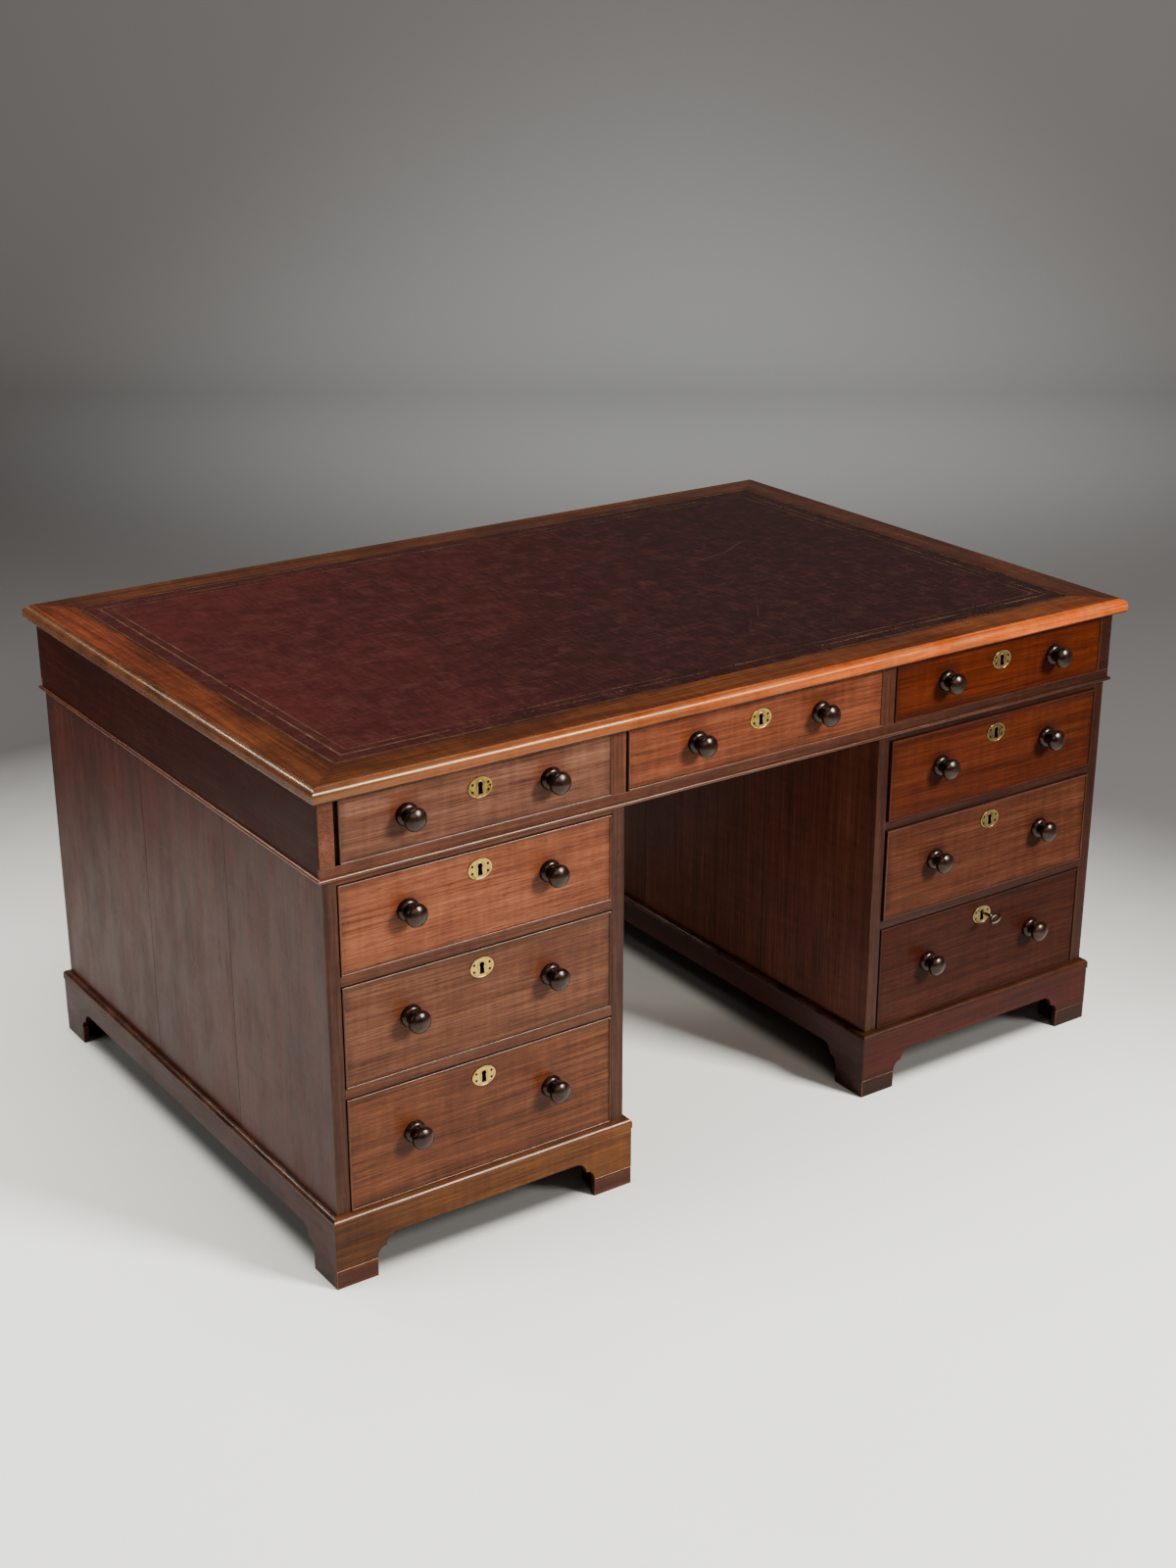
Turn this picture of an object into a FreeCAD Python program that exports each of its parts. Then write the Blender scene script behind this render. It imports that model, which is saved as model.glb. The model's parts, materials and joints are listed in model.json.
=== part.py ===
import FreeCAD, Part
import math
import os

from FreeCAD import Vector

# A pedestal desk for two people: a leathered top on a frieze with three drawers to each side,
# standing on two pedestals with drawers at the front and a cupboard at the back.
# Millimetres. Origin on the floor under the middle of the desk, +Z up, drawer front towards -Y.

# Writing top
top_width = 1528.0
top_depth = 1010.0
top_thickness = 24.0
overhang_ends = 15.0              # top beyond the frieze at the two ends
overhang_front = 18.0             # top beyond the frieze at front and back
border_width = 70.0               # timber round the leather
leather_thickness = 1.6
edge_quirk = 1.5                  # small step above the thumb moulding
edge_round = 10.0
edge_under_round = 5.0

# Frieze
frieze_height = 121.0
frieze_end_thickness = 24.0
frieze_divider_thickness = 24.0
frieze_rail_height = 21.0
frieze_rail_depth = 60.0
frieze_rail_lip = 6.0             # stretch of the rail that crosses the front edge of each end
frieze_partition_thickness = 16.0
frieze_bead_height = 7.0
frieze_bead_projection = 4.0
runner_width = 18.0
peg_radius = 5.0                  # pegs that locate the top on the pedestals
peg_length = 22.0
peg_setback = 130.0               # peg centre from the pedestal's front and back faces
peg_fit = 0.1

# Pedestals
pedestal_width = 499.0
pedestal_setback = 4.0            # pedestal face behind the frieze face
side_thickness = 22.0
pedestal_top_thickness = 9.0
pedestal_bottom_thickness = 16.0
blade_thickness = 15.5            # rails between the drawers
blade_depth = 60.0
bottom_opening = 182.0
middle_opening = 160.0
top_opening = 138.0
partition_thickness = 16.0
cupboard_depth = 385.0
shelf_thickness = 14.0
shelf_height = 250.0              # shelf's top above the cupboard floor
shelf_setback = 12.0              # shelf edge behind the closed door
cleat_size = 16.0
stop_width = 30.0                 # small blocks that stop the drawers flush
stop_depth = 12.0
stop_height = 5.0
stop_spread = 90.0                # stop centre from the drawer's middle
stop_gap = 0.2

# Plinth and feet
plinth_height = 115.0
plinth_projection = 11.0
plinth_moulding_height = 17.0
plinth_round = 9.0
plinth_step = 1.2                 # face under the moulding, set back
foot_width = 70.0
foot_pad_height = 30.0
foot_rise = 2.0                   # plain stretch of the bracket above its pad
bracket_low_cove = 15.0
bracket_high_cove = 18.0
foot_block_size = 45.0

# Drawers
drawer_side_gap = 1.4
drawer_top_gap = 1.5
drawer_running_gap = 0.2
drawer_end_gap = 20.0             # drawer back to the partition behind it
left_drawer_slack = 5.0           # more room left of the left frieze drawer, whose front is narrow
centre_drawer_slack = 2.0         # the same on the centre frieze drawer
right_top_pull = 4.0              # how far these two drawers stand out of their openings
right_middle_pull = 3.0
front_thickness = 22.0
drawer_side_thickness = 10.0
drawer_back_thickness = 9.0
drawer_bottom_thickness = 6.0
drawer_bottom_rise = 8.0          # bottom panel above the lower edge of the sides
drawer_groove = 5.0
drawer_side_drop = 4.0            # sides below the top edge of the front
drawer_back_drop = 6.0            # back below the sides
cock_bead_width = 3.0
cock_bead_projection = 1.8
cock_bead_depth = 6.0
dovetail_lap = 7.0
dovetail_pitch = 38.0
dovetail_pin = 12.0
dovetail_flare = 4.0

# Turned knobs
knob_share = 0.5187               # knob centre from the drawer's middle, by half the opening
centre_knob_share = 0.4797        # the same on the wider centre drawers
knob_rise = 6.0                   # knob centre above the drawer's middle
frieze_knob_rise = 1.0
knob_collar_radius = 17.5
knob_collar_height = 8.0
knob_collar_edge = 1.5
knob_collar_swell = 2.4
knob_neck_radius = 8.5
knob_head_radius = 17.5
knob_head_centre = 24.0           # widest place of the head in front of the drawer
knob_rim_radius = 7.0             # round of the head's edge
knob_length = 34.5
knob_peg_radius = 5.0
knob_peg_length = 18.0
knob_fit = 0.1

# Brass plates, locks and the key
plate_half_width = 20.0
plate_half_height = 15.8
plate_thickness = 1.6
pin_radius = 1.8
pin_height = 0.7
pin_spread_x = 13.0
pin_spread_z = 5.5
frieze_lock_drop = 35.0           # plate centre below the top edge of the drawer front
pedestal_lock_drop = 29.5
keyhole_radius = 4.0
keyhole_slot_width = 7.2
keyhole_rise = 4.5                # key axis above the plate centre
keyhole_drop = 10.0
lock_half_width = 30.0
lock_depth = 11.0
lock_tail = 12.0                  # lock case below the plate centre
lock_wall = 1.5
bolt_half_width = 11.0
bolt_thickness = 5.6
bolt_slip = 0.2
bolt_clear = 3.2                  # bolt above the sweep of the key's bit
bolt_mortise_depth = 6.5
bolt_mortise_room = 1.0
key_shank_radius = 2.6
key_fit = 0.1
key_bit_reach = 9.0
key_bit_thickness = 2.4
key_bit_room = 0.6
key_bow_distance = 33.0           # middle of the bow in front of the drawer
key_bow_half_width = 11.0
key_bow_half_length = 9.0
key_bow_ring = 3.4
key_bow_thickness = 3.2
key_collar_radius = 4.0
key_collar_length = 3.0
key_turn = 60.0                   # how far the key stands turned from upright

# Cupboard doors
door_thickness = 22.0
door_gap = 1.6
door_stile = 58.0
door_top_rail = 58.0
door_bottom_rail = 70.0
door_panel_thickness = 8.0
door_panel_setback = 7.0          # panel face behind the frame face
door_groove = 8.0
door_moulding = 6.0
door_lock_rise = 60.0             # plate centre above the middle of the door
door_lock_half_height = 28.0
door_lock_half_width = 20.0
door_knob_drop = 20.0             # knob centre below the middle of the door

# Butt hinges
hinge_length = 64.0
hinge_setback = 95.0              # hinge middle from the door's top and bottom edges
hinge_leaf_width = 18.0
hinge_leaf_thickness = 2.2
hinge_leaf_gap = 0.3
hinge_knuckle_radius = 3.5
hinge_knuckle_clear = 0.3
hinge_knuckle_count = 5
hinge_knuckle_gap = 0.2
hinge_pin_radius = 1.6
hinge_pin_fit = 0.05

# Worked-out levels and faces
plinth_underside = foot_pad_height + foot_rise + bracket_low_cove + bracket_high_cove
middle_base = plinth_height + bottom_opening + blade_thickness
top_base = middle_base + middle_opening + blade_thickness
pedestal_ceiling = top_base + top_opening
pedestal_height = pedestal_ceiling + pedestal_top_thickness
frieze_base = pedestal_height + frieze_rail_height
frieze_top = pedestal_height + frieze_height
desk_height = frieze_top + top_thickness
frieze_opening = frieze_top - frieze_base

top_half_x = top_width / 2
top_half_y = top_depth / 2
frieze_half_x = top_half_x - overhang_ends
frieze_half_y = top_half_y - overhang_front
pedestal_half_y = frieze_half_y - pedestal_setback
pedestal_half_x = pedestal_width / 2
pedestal_centre = frieze_half_x - pedestal_setback - pedestal_half_x
kneehole_half = pedestal_centre - pedestal_half_x
opening_half = pedestal_half_x - side_thickness
partition_back = pedestal_half_y - door_thickness - cupboard_depth
partition_front = partition_back - partition_thickness
end_inner = frieze_half_x - frieze_end_thickness
divider_outer = kneehole_half + frieze_divider_thickness
frieze_drawer_room = frieze_half_y - frieze_partition_thickness / 2
pedestal_drawer_room = pedestal_half_y + partition_front
hinge_proud = hinge_knuckle_radius + hinge_knuckle_clear
hinge_x = opening_half - door_gap / 2
hinge_y = pedestal_half_y + hinge_proud
front_slack = {"left": left_drawer_slack, "centre": centre_drawer_slack, "right": 0.0}
drawer_pull = {"right_top": right_top_pull, "right_middle": right_middle_pull}


def box(span_x, span_y, span_z):
    x0, x1 = sorted(span_x)
    y0, y1 = sorted(span_y)
    z0, z1 = sorted(span_z)
    return Part.makeBox(x1 - x0, y1 - y0, z1 - z0, Vector(x0, y0, z0))


def middle_span(half):
    return (-half, half)


def moved(shape, x, y, z):
    copy = shape.copy()
    copy.translate(Vector(x, y, z))
    return copy


def turned_round(shape):
    copy = shape.copy()
    copy.rotate(Vector(), Vector(0, 0, 1), 180)
    return copy


def mirrored_x(shape):
    return shape.mirror(Vector(), Vector(1, 0, 0))


def one_solid(shape):
    return shape.removeSplitter().Solids[0]


def line(start, end):
    return Part.LineSegment(start, end).toShape()


def polyline(points):
    return [line(start, end) for start, end in zip(points, points[1:])]


def short_arc(start, end, centre):
    middle = (start - centre) + (end - centre)
    middle.normalize()
    radius = (start - centre).Length
    return Part.Arc(start, centre + middle * radius, end).toShape()


def swelling_arc(start, end, swell):
    chord = end - start
    out = Vector(-chord.y, chord.x, 0)
    out.normalize()
    return Part.Arc(start, (start + end) * 0.5 + out * swell, end).toShape()


def outline_face(edges):
    return Part.Face(Part.Wire(Part.__sortEdges__(edges)))


def prism(edges, path):
    return outline_face(edges).extrude(path)


def oval_disc(half_x, half_y, thickness):
    return prism([Part.Ellipse(Vector(), half_x, half_y).toShape()], Vector(0, 0, thickness))


def mitred_ring(half_x, half_y, depth, profile):
    # The profile is drawn at x = 0, with y running inwards from the outer face.
    strips = []
    for turn in range(4):
        along, out = (half_x, half_y) if turn % 2 == 0 else (half_y, half_x)
        face = outline_face(profile)
        face.translate(Vector(-along, -out, 0))
        strip = face.extrude(Vector(2 * along, 0, 0))
        low = strip.BoundBox.ZMin - 1
        high = strip.BoundBox.ZMax + 1
        plan = [Vector(-along, -out, low), Vector(along, -out, low),
                Vector(along - depth, depth - out, low), Vector(depth - along, depth - out, low),
                Vector(-along, -out, low)]
        wedge = prism(polyline(plan), Vector(0, 0, high - low))
        piece = strip.common(wedge).Solids[0]
        piece.rotate(Vector(), Vector(0, 0, 1), 90 * turn)
        strips.append(piece)
    return strips


def upright_ring(half_x, half_z, depth, profile, centre_z):
    # The same mouldings stood up, with the profile's z pointing out of the drawer face.
    pieces = mitred_ring(half_x, half_z, depth, profile)
    for piece in pieces:
        piece.rotate(Vector(), Vector(1, 0, 0), 90)
        piece.translate(Vector(0, 0, centre_z))
    return pieces


# Knobs

def knob_profile():
    def point(radius, out):
        return Vector(radius, -out, 0)

    # The head's rim is a round about rim_centre, and its front is part of a ball that meets the rim.
    rim_x = knob_head_radius - knob_rim_radius
    ball_reach = knob_length - knob_rim_radius
    ball_rise = 2 * (ball_reach - knob_head_centre)
    ball_centre = (ball_reach ** 2 - rim_x ** 2 - knob_head_centre ** 2) / ball_rise
    rim_centre = point(rim_x, knob_head_centre)
    meeting = rim_centre - point(0, ball_centre)
    meeting.normalize()
    meeting = rim_centre + meeting * knob_rim_radius
    neck_back = math.sqrt(knob_rim_radius ** 2 - (knob_neck_radius - rim_x) ** 2)
    head_start = point(knob_neck_radius, knob_head_centre - neck_back)
    tip = point(0, knob_length)
    widest = point(knob_head_radius, knob_head_centre)
    collar_top = point(knob_neck_radius, knob_collar_height)
    collar_rim = point(knob_collar_radius, knob_collar_edge)
    base = polyline([tip, point(0, -knob_peg_length), point(knob_peg_radius, -knob_peg_length),
                     point(knob_peg_radius, 0), point(knob_collar_radius, 0), collar_rim])
    swell = swelling_arc(collar_rim, collar_top, knob_collar_swell)
    rim = Part.Arc(head_start, widest, meeting).toShape()
    front = short_arc(meeting, tip, point(0, ball_centre))
    return base + [swell, line(collar_top, head_start), rim, front]


def turned_knob():
    return outline_face(knob_profile()).revolve(Vector(), Vector(0, 1, 0), 360).Solids[0]


def knob_hole(x, z):
    return Part.makeCylinder(knob_peg_radius + knob_fit, knob_peg_length + knob_fit,
                             Vector(x, 0, z), Vector(0, 1, 0))


# Locks, drawn with the plate centre at the origin and the wood towards +Y

def keyhole(radius, slot_width, span_y):
    length = span_y[1] - span_y[0]
    round_part = Part.makeCylinder(radius, length, Vector(0, span_y[0], keyhole_rise), Vector(0, 1, 0))
    slot = box(middle_span(slot_width / 2), span_y, (-keyhole_drop, keyhole_rise))
    return one_solid(round_part.fuse(slot))


def escutcheon():
    plate = oval_disc(plate_half_width, plate_half_height, plate_thickness)
    plate.rotate(Vector(), Vector(1, 0, 0), 90)
    plate = plate.cut(keyhole(keyhole_radius, keyhole_slot_width, (-2 * plate_thickness, plate_thickness)))
    pieces = [plate.Solids[0]]
    for side in (-1, 1):
        for level in (-1, 1):
            place = Vector(side * pin_spread_x, -plate_thickness, level * pin_spread_z)
            pieces.append(Part.makeCylinder(pin_radius, pin_height, place, Vector(0, -1, 0)))
    return pieces


def lock_chamber_radius():
    return key_bit_reach + key_bit_room


def bolt_base():
    return keyhole_rise + lock_chamber_radius() + bolt_clear


def bolt_span_y():
    middle = front_thickness - lock_depth / 2
    return (middle - bolt_thickness / 2, middle + bolt_thickness / 2)


def lock_bolt(drop):
    return box(middle_span(bolt_half_width), bolt_span_y(), (bolt_base(), drop))


def lock_case(drop):
    back = front_thickness
    front = front_thickness - lock_depth
    case = box(middle_span(lock_half_width), (front, back), (-lock_tail, drop))
    chamber_depth = lock_depth - 2 * lock_wall
    chamber = Part.makeCylinder(lock_chamber_radius(), chamber_depth,
                                Vector(0, front + lock_wall, keyhole_rise), Vector(0, 1, 0))
    channel_y = (bolt_span_y()[0] - bolt_slip, bolt_span_y()[1] + bolt_slip)
    channel = box(middle_span(bolt_half_width + bolt_slip), channel_y,
                  (bolt_base() - bolt_clear + bolt_slip, drop))
    mouth = keyhole(key_shank_radius + key_fit, key_bit_thickness + 2 * key_bit_room,
                    (front, front + lock_wall))
    return case.cut(chamber).cut(channel).cut(mouth).Solids[0]


def lock_pocket(drop):
    pocket = box(middle_span(lock_half_width), (front_thickness - lock_depth, front_thickness),
                 (-lock_tail, drop))
    return pocket.fuse(keyhole(keyhole_radius, keyhole_slot_width, (0, front_thickness - lock_depth)))


def bolt_mortise():
    # Drawn up from the level of the rail's lower face.
    room = bolt_mortise_room
    span_y = (bolt_span_y()[0] - room, bolt_span_y()[1] + room)
    return box(middle_span(bolt_half_width + room), span_y, (0, bolt_mortise_depth))


def key():
    # The bit lies in the lock's chamber and the bow stands in front of the drawer.
    tip = front_thickness - lock_wall - key_bit_room
    bit_root = front_thickness - lock_depth + lock_wall + key_bit_room
    bow_front = -key_bow_distance + key_bow_half_length
    shank_end = bow_front - key_bow_ring / 2
    shank = Part.makeCylinder(key_shank_radius, tip - shank_end, Vector(0, shank_end, 0), Vector(0, 1, 0))
    collar = Part.makeCylinder(key_collar_radius, key_collar_length, Vector(0, bow_front, 0), Vector(0, 1, 0))
    bit = box(middle_span(key_bit_thickness / 2), (bit_root, tip), (-key_bit_reach, 0))
    bow = oval_disc(key_bow_half_width, key_bow_half_length, key_bow_thickness)
    hole = oval_disc(key_bow_half_width - key_bow_ring, key_bow_half_length - key_bow_ring, key_bow_thickness)
    bow = bow.cut(hole)
    bow.translate(Vector(0, -key_bow_distance, -key_bow_thickness / 2))
    bow.rotate(Vector(), Vector(0, 1, 0), 90)
    whole = one_solid(shank.fuse([collar, bit, bow]))
    whole.rotate(Vector(), Vector(0, 1, 0), key_turn)
    whole.translate(Vector(0, 0, keyhole_rise))
    return whole


# Drawers, drawn with the face at y = 0, the middle at x = 0 and the runner at z = 0

def tail_shapes(half_width, side_height):
    count = max(2, round(side_height / dovetail_pitch))
    pitch = side_height / count
    neck = (pitch - dovetail_pin) / 2
    tails = []
    for index in range(count):
        middle = drawer_running_gap + pitch * (index + 0.5)
        outline = [Vector(0, front_thickness, middle - neck), Vector(0, front_thickness, middle + neck),
                   Vector(0, dovetail_lap, middle + neck + dovetail_flare),
                   Vector(0, dovetail_lap, middle - neck - dovetail_flare),
                   Vector(0, front_thickness, middle - neck)]
        tail = prism(polyline(outline), Vector(drawer_side_thickness, 0, 0))
        tails.append(moved(tail, half_width - drawer_side_thickness, 0, 0))
        tails.append(moved(tail, -half_width, 0, 0))
    return tails


def cock_beads(half_width, low, high):
    nose = cock_bead_width / 2
    shoulder = cock_bead_projection - nose
    corner_out = Vector(0, 0, shoulder)
    corner_in = Vector(0, cock_bead_width, shoulder)
    profile = polyline([corner_in, Vector(0, cock_bead_width, -cock_bead_depth),
                        Vector(0, 0, -cock_bead_depth), corner_out])
    profile.append(Part.Arc(corner_out, Vector(0, nose, cock_bead_projection), corner_in).toShape())
    return upright_ring(half_width, (high - low) / 2, cock_bead_width, profile, (low + high) / 2)


def drawer_pieces(width, height, room, lock_drop, knob_x, knob_lift):
    half = width / 2 - drawer_side_gap
    low = drawer_running_gap
    high = height - drawer_top_gap
    length = room - drawer_end_gap
    inner = half - drawer_side_thickness
    side_high = high - drawer_side_drop
    bottom_low = low + drawer_bottom_rise
    bottom_high = bottom_low + drawer_bottom_thickness
    bottom_span = (bottom_low, bottom_high)
    tails = tail_shapes(half, side_high - low)
    lock_z = high - lock_drop
    knob_z = (low + high) / 2 + knob_lift

    core = box(middle_span(half - cock_bead_width), (0, cock_bead_depth),
               (low + cock_bead_width, high - cock_bead_width))
    front = box(middle_span(half), (cock_bead_depth, front_thickness), (low, high)).fuse(core)
    front_groove = box(middle_span(inner), (front_thickness - drawer_groove, front_thickness), bottom_span)
    holes = [knob_hole(side * knob_x, knob_z) for side in (-1, 1)]
    front = one_solid(front.cut(tails + holes + [front_groove, moved(lock_pocket(lock_drop), 0, 0, lock_z)]))

    bottom = one_solid(box(middle_span(inner + drawer_groove), (front_thickness, length), bottom_span)
                       .fuse(box(middle_span(inner), (front_thickness - drawer_groove, front_thickness),
                                 bottom_span)))
    back = box(middle_span(inner), (length - drawer_back_thickness, length),
               (bottom_high, side_high - drawer_back_drop))
    sides = []
    for side in (0, 1):
        outer_x = half if side == 0 else -half
        inner_x = inner if side == 0 else -inner
        board = box((inner_x, outer_x), (front_thickness, length), (low, side_high))
        board = board.fuse(tails[side::2])
        sides.append(one_solid(board.cut(bottom)))

    knobs = [moved(turned_knob(), side * knob_x, 0, knob_z) for side in (-1, 1)]
    lock = [moved(piece, 0, 0, lock_z) for piece in escutcheon() + [lock_case(lock_drop)]]
    bolt = moved(lock_bolt(lock_drop), 0, 0, lock_z)
    body = [front, bottom, back] + sides + cock_beads(half, low, high)
    return {"drawer": body, "knobs": knobs, "lock": lock, "bolt": bolt, "key": moved(key(), 0, 0, lock_z)}


# Writing top

def top_edge_profile():
    flat_start = edge_round
    quirk_top = Vector(0, flat_start, desk_height)
    round_top = Vector(0, flat_start, desk_height - edge_quirk)
    round_end = Vector(0, 0, desk_height - edge_quirk - edge_round)
    under_start = Vector(0, 0, frieze_top + edge_under_round)
    under_end = Vector(0, edge_under_round, frieze_top)
    edges = polyline([under_end, Vector(0, border_width, frieze_top), Vector(0, border_width, desk_height),
                      quirk_top, round_top])
    edges.append(short_arc(round_top, round_end, Vector(0, edge_round, round_end.z)))
    edges.append(line(round_end, under_start))
    edges.append(short_arc(under_start, under_end, Vector(0, edge_under_round, under_start.z)))
    return edges


def frieze_drawer_places():
    outer_middle = (divider_outer + end_inner) / 2
    outer_width = end_inner - divider_outer
    return [("left", -outer_middle, outer_width), ("centre", 0.0, 2 * kneehole_half),
            ("right", outer_middle, outer_width)]


def writing_top():
    strips = mitred_ring(top_half_x, top_half_y, border_width, top_edge_profile())
    mortises = []
    for name, middle, width in frieze_drawer_places():
        cut = moved(bolt_mortise(), 0, -frieze_half_y, frieze_top)
        mortises.append(moved(cut, middle + front_slack[name] / 2, 0, 0))
        mortises.append(moved(turned_round(cut), middle, 0, 0))
    border = [strip.cut(mortises).Solids[0] for strip in strips]
    panel_x = middle_span(top_half_x - border_width)
    panel_y = middle_span(top_half_y - border_width)
    leather_low = desk_height - leather_thickness
    return {"top_border": border,
            "top_panel": [box(panel_x, panel_y, (frieze_top, leather_low))],
            "writing_leather": [box(panel_x, panel_y, (leather_low, desk_height))]}


# Frieze

def peg_places():
    inner = divider_outer + runner_width / 2
    outer = end_inner - runner_width / 2
    along = pedestal_half_y - peg_setback
    return [(side * x, way * along) for side in (-1, 1) for x in (inner, outer) for way in (-1, 1)]


def peg(x, y, extra):
    base = pedestal_ceiling - extra
    return Part.makeCylinder(peg_radius + extra, peg_length + 2 * extra, Vector(x, y, base), Vector(0, 0, 1))


def drawer_stops(middle, face_y, base):
    stops = []
    for side in (-1, 1):
        x = side * stop_spread
        y = front_thickness + stop_gap
        stops.append(box((x - stop_width / 2, x + stop_width / 2), (y, y + stop_depth), (0, stop_height)))
    return [moved(stop, middle, face_y, base) for stop in stops]


def frieze():
    rail_z = (pedestal_height, frieze_base)
    full_z = (pedestal_height, frieze_top)
    open_z = (frieze_base, frieze_top)
    lip_y = frieze_half_y - frieze_rail_lip
    rail_back = frieze_half_y - frieze_rail_depth
    ends = []
    runners = []
    dividers = []
    rails = []
    holes = [peg(x, y, peg_fit) for x, y in peg_places()]
    for side in (-1, 1):
        end = box((side * end_inner, side * frieze_half_x), middle_span(frieze_half_y), full_z)
        for way in (-1, 1):
            notch = box((side * end_inner, side * frieze_half_x), (way * lip_y, way * frieze_half_y), rail_z)
            end = end.cut(notch)
        ends.append(end.Solids[0])
        runner = box((side * (end_inner - runner_width), side * end_inner), middle_span(rail_back), rail_z)
        bearer = box((side * (kneehole_half - runner_width), side * (divider_outer + runner_width)),
                     middle_span(rail_back), rail_z)
        runners += [runner.cut(holes).Solids[0], bearer.cut(holes).Solids[0]]
        dividers.append(box((side * kneehole_half, side * divider_outer), middle_span(frieze_half_y), open_z))
    for name, middle, width in frieze_drawer_places():
        partition = box(middle_span(width / 2), middle_span(frieze_partition_thickness / 2), open_z)
        dividers.append(moved(partition, middle, 0, 0))
    for way in (-1, 1):
        rail = box(middle_span(end_inner), (way * rail_back, way * frieze_half_y), rail_z)
        lip = box(middle_span(frieze_half_x), (way * lip_y, way * frieze_half_y), rail_z)
        rails.append(one_solid(rail.fuse(lip)))
    for name, middle, width in frieze_drawer_places():
        stops = drawer_stops(middle, -frieze_half_y, frieze_base)
        rails += stops + [turned_round(moved(stop, -2 * middle, 0, 0)) for stop in stops]
    pegs = [peg(x, y, 0) for x, y in peg_places()]
    return {"frieze_ends": ends, "frieze_rails": rails, "frieze_dividers": dividers,
            "frieze_runners": runners + pegs, "frieze_bead": frieze_bead()}


def frieze_bead():
    radius = frieze_bead_height / 2
    flat = frieze_bead_projection - radius
    low = Vector(0, radius, pedestal_height)
    high = Vector(0, radius, pedestal_height + frieze_bead_height)
    profile = polyline([high, Vector(0, radius + flat, high.z), Vector(0, radius + flat, low.z), low])
    profile.append(Part.Arc(low, Vector(0, 0, pedestal_height + radius), high).toShape())
    return mitred_ring(frieze_half_x + frieze_bead_projection, frieze_half_y + frieze_bead_projection,
                       frieze_bead_projection, profile)


# Pedestals, drawn about their own middle with the outer end towards +X

def pedestal_openings():
    return [("bottom", plinth_height, bottom_opening), ("middle", middle_base, middle_opening),
            ("top", top_base, top_opening)]


def pedestal_case():
    depth = middle_span(pedestal_half_y)
    inside = middle_span(opening_half)
    leaf_cuts = [fixed_leaf_plate(z) for z in hinge_levels()]
    outer = box((opening_half, pedestal_half_x), depth, (plinth_underside, pedestal_height))
    inner = box((-pedestal_half_x, -opening_half), depth, (plinth_underside, pedestal_height))
    top = box(inside, depth, (pedestal_ceiling, pedestal_height))
    holes = [moved(peg(x, y, peg_fit), -pedestal_centre, 0, 0) for x, y in peg_places()]
    top = top.cut(holes + [moved(bolt_mortise(), 0, -pedestal_half_y, pedestal_ceiling)]).Solids[0]
    bottom = box(inside, depth, (plinth_height - pedestal_bottom_thickness, plinth_height))
    partition = box(inside, (partition_front, partition_back), (plinth_height, pedestal_ceiling))
    shelf_top = plinth_height + shelf_height
    shelf_low = shelf_top - shelf_thickness
    shelf_y = (partition_back, pedestal_half_y - door_thickness - shelf_setback)
    shelf = box(inside, shelf_y, (shelf_low, shelf_top))
    boards = [top, bottom, partition, shelf]
    for side in (-1, 1):
        boards.append(box((side * (opening_half - cleat_size), side * opening_half), shelf_y,
                          (shelf_low - cleat_size, shelf_low)))
    return {"sides": [outer.cut(leaf_cuts).Solids[0], inner], "boards": boards, "blades": blades()}


def blades():
    pieces = []
    blade_back = blade_depth - pedestal_half_y
    for name, base, height in pedestal_openings():
        pieces += drawer_stops(0, -pedestal_half_y, base)
        if base == plinth_height:
            continue
        level = (base - blade_thickness, base)
        blade = box(middle_span(opening_half), (-pedestal_half_y, blade_back), level)
        pieces.append(blade.cut(moved(bolt_mortise(), 0, -pedestal_half_y, level[0])).Solids[0])
        for side in (-1, 1):
            pieces.append(box((side * (opening_half - runner_width), side * opening_half),
                              (blade_back, partition_front), level))
    return pieces


# Plinth with bracket feet

def plinth_profile():
    lower = plinth_height - plinth_moulding_height
    round_low = Vector(0, 0, plinth_height - plinth_round)
    round_high = Vector(0, plinth_round, plinth_height)
    edges = polyline([round_high, Vector(0, plinth_projection, plinth_height),
                      Vector(0, plinth_projection, foot_pad_height), Vector(0, plinth_step, foot_pad_height),
                      Vector(0, plinth_step, lower), Vector(0, 0, lower), round_low])
    edges.append(short_arc(round_low, round_high, Vector(0, plinth_round, round_low.z)))
    return edges


def bracket_opening(half_board, reach):
    half = half_board - foot_width
    start = foot_pad_height + foot_rise
    low = bracket_low_cove
    high = bracket_high_cove

    def point(x, z):
        return Vector(x, -reach, z)

    def side_edges(way):
        foot = point(way * half, start)
        cusp = point(way * (half - low), start + low)
        crown = point(way * (half - low - high), plinth_underside)
        return [short_arc(foot, cusp, point(way * (half - low), start)),
                short_arc(cusp, crown, point(way * (half - low - high), start + low))]

    below = foot_pad_height - foot_rise
    left = side_edges(-1)
    right = side_edges(1)
    crown_line = line(left[1].Vertexes[-1].Point, right[1].Vertexes[-1].Point)
    base = polyline([point(half, start), point(half, below), point(-half, below), point(-half, start)])
    return prism(left + [crown_line] + right + base, Vector(0, 2 * reach, 0))


def plinth():
    half_x = pedestal_half_x + plinth_projection
    half_y = pedestal_half_y + plinth_projection
    boards = mitred_ring(half_x, half_y, plinth_projection, plinth_profile())
    front_cut = bracket_opening(half_x, half_y + 1)
    end_cut = bracket_opening(half_y, half_x + 1)
    end_cut.rotate(Vector(), Vector(0, 0, 1), 90)
    pieces = []
    for turn, board in enumerate(boards):
        cut = front_cut if turn % 2 == 0 else end_cut
        pieces.append(board.cut(cut).Solids[0])
    return pieces


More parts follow.
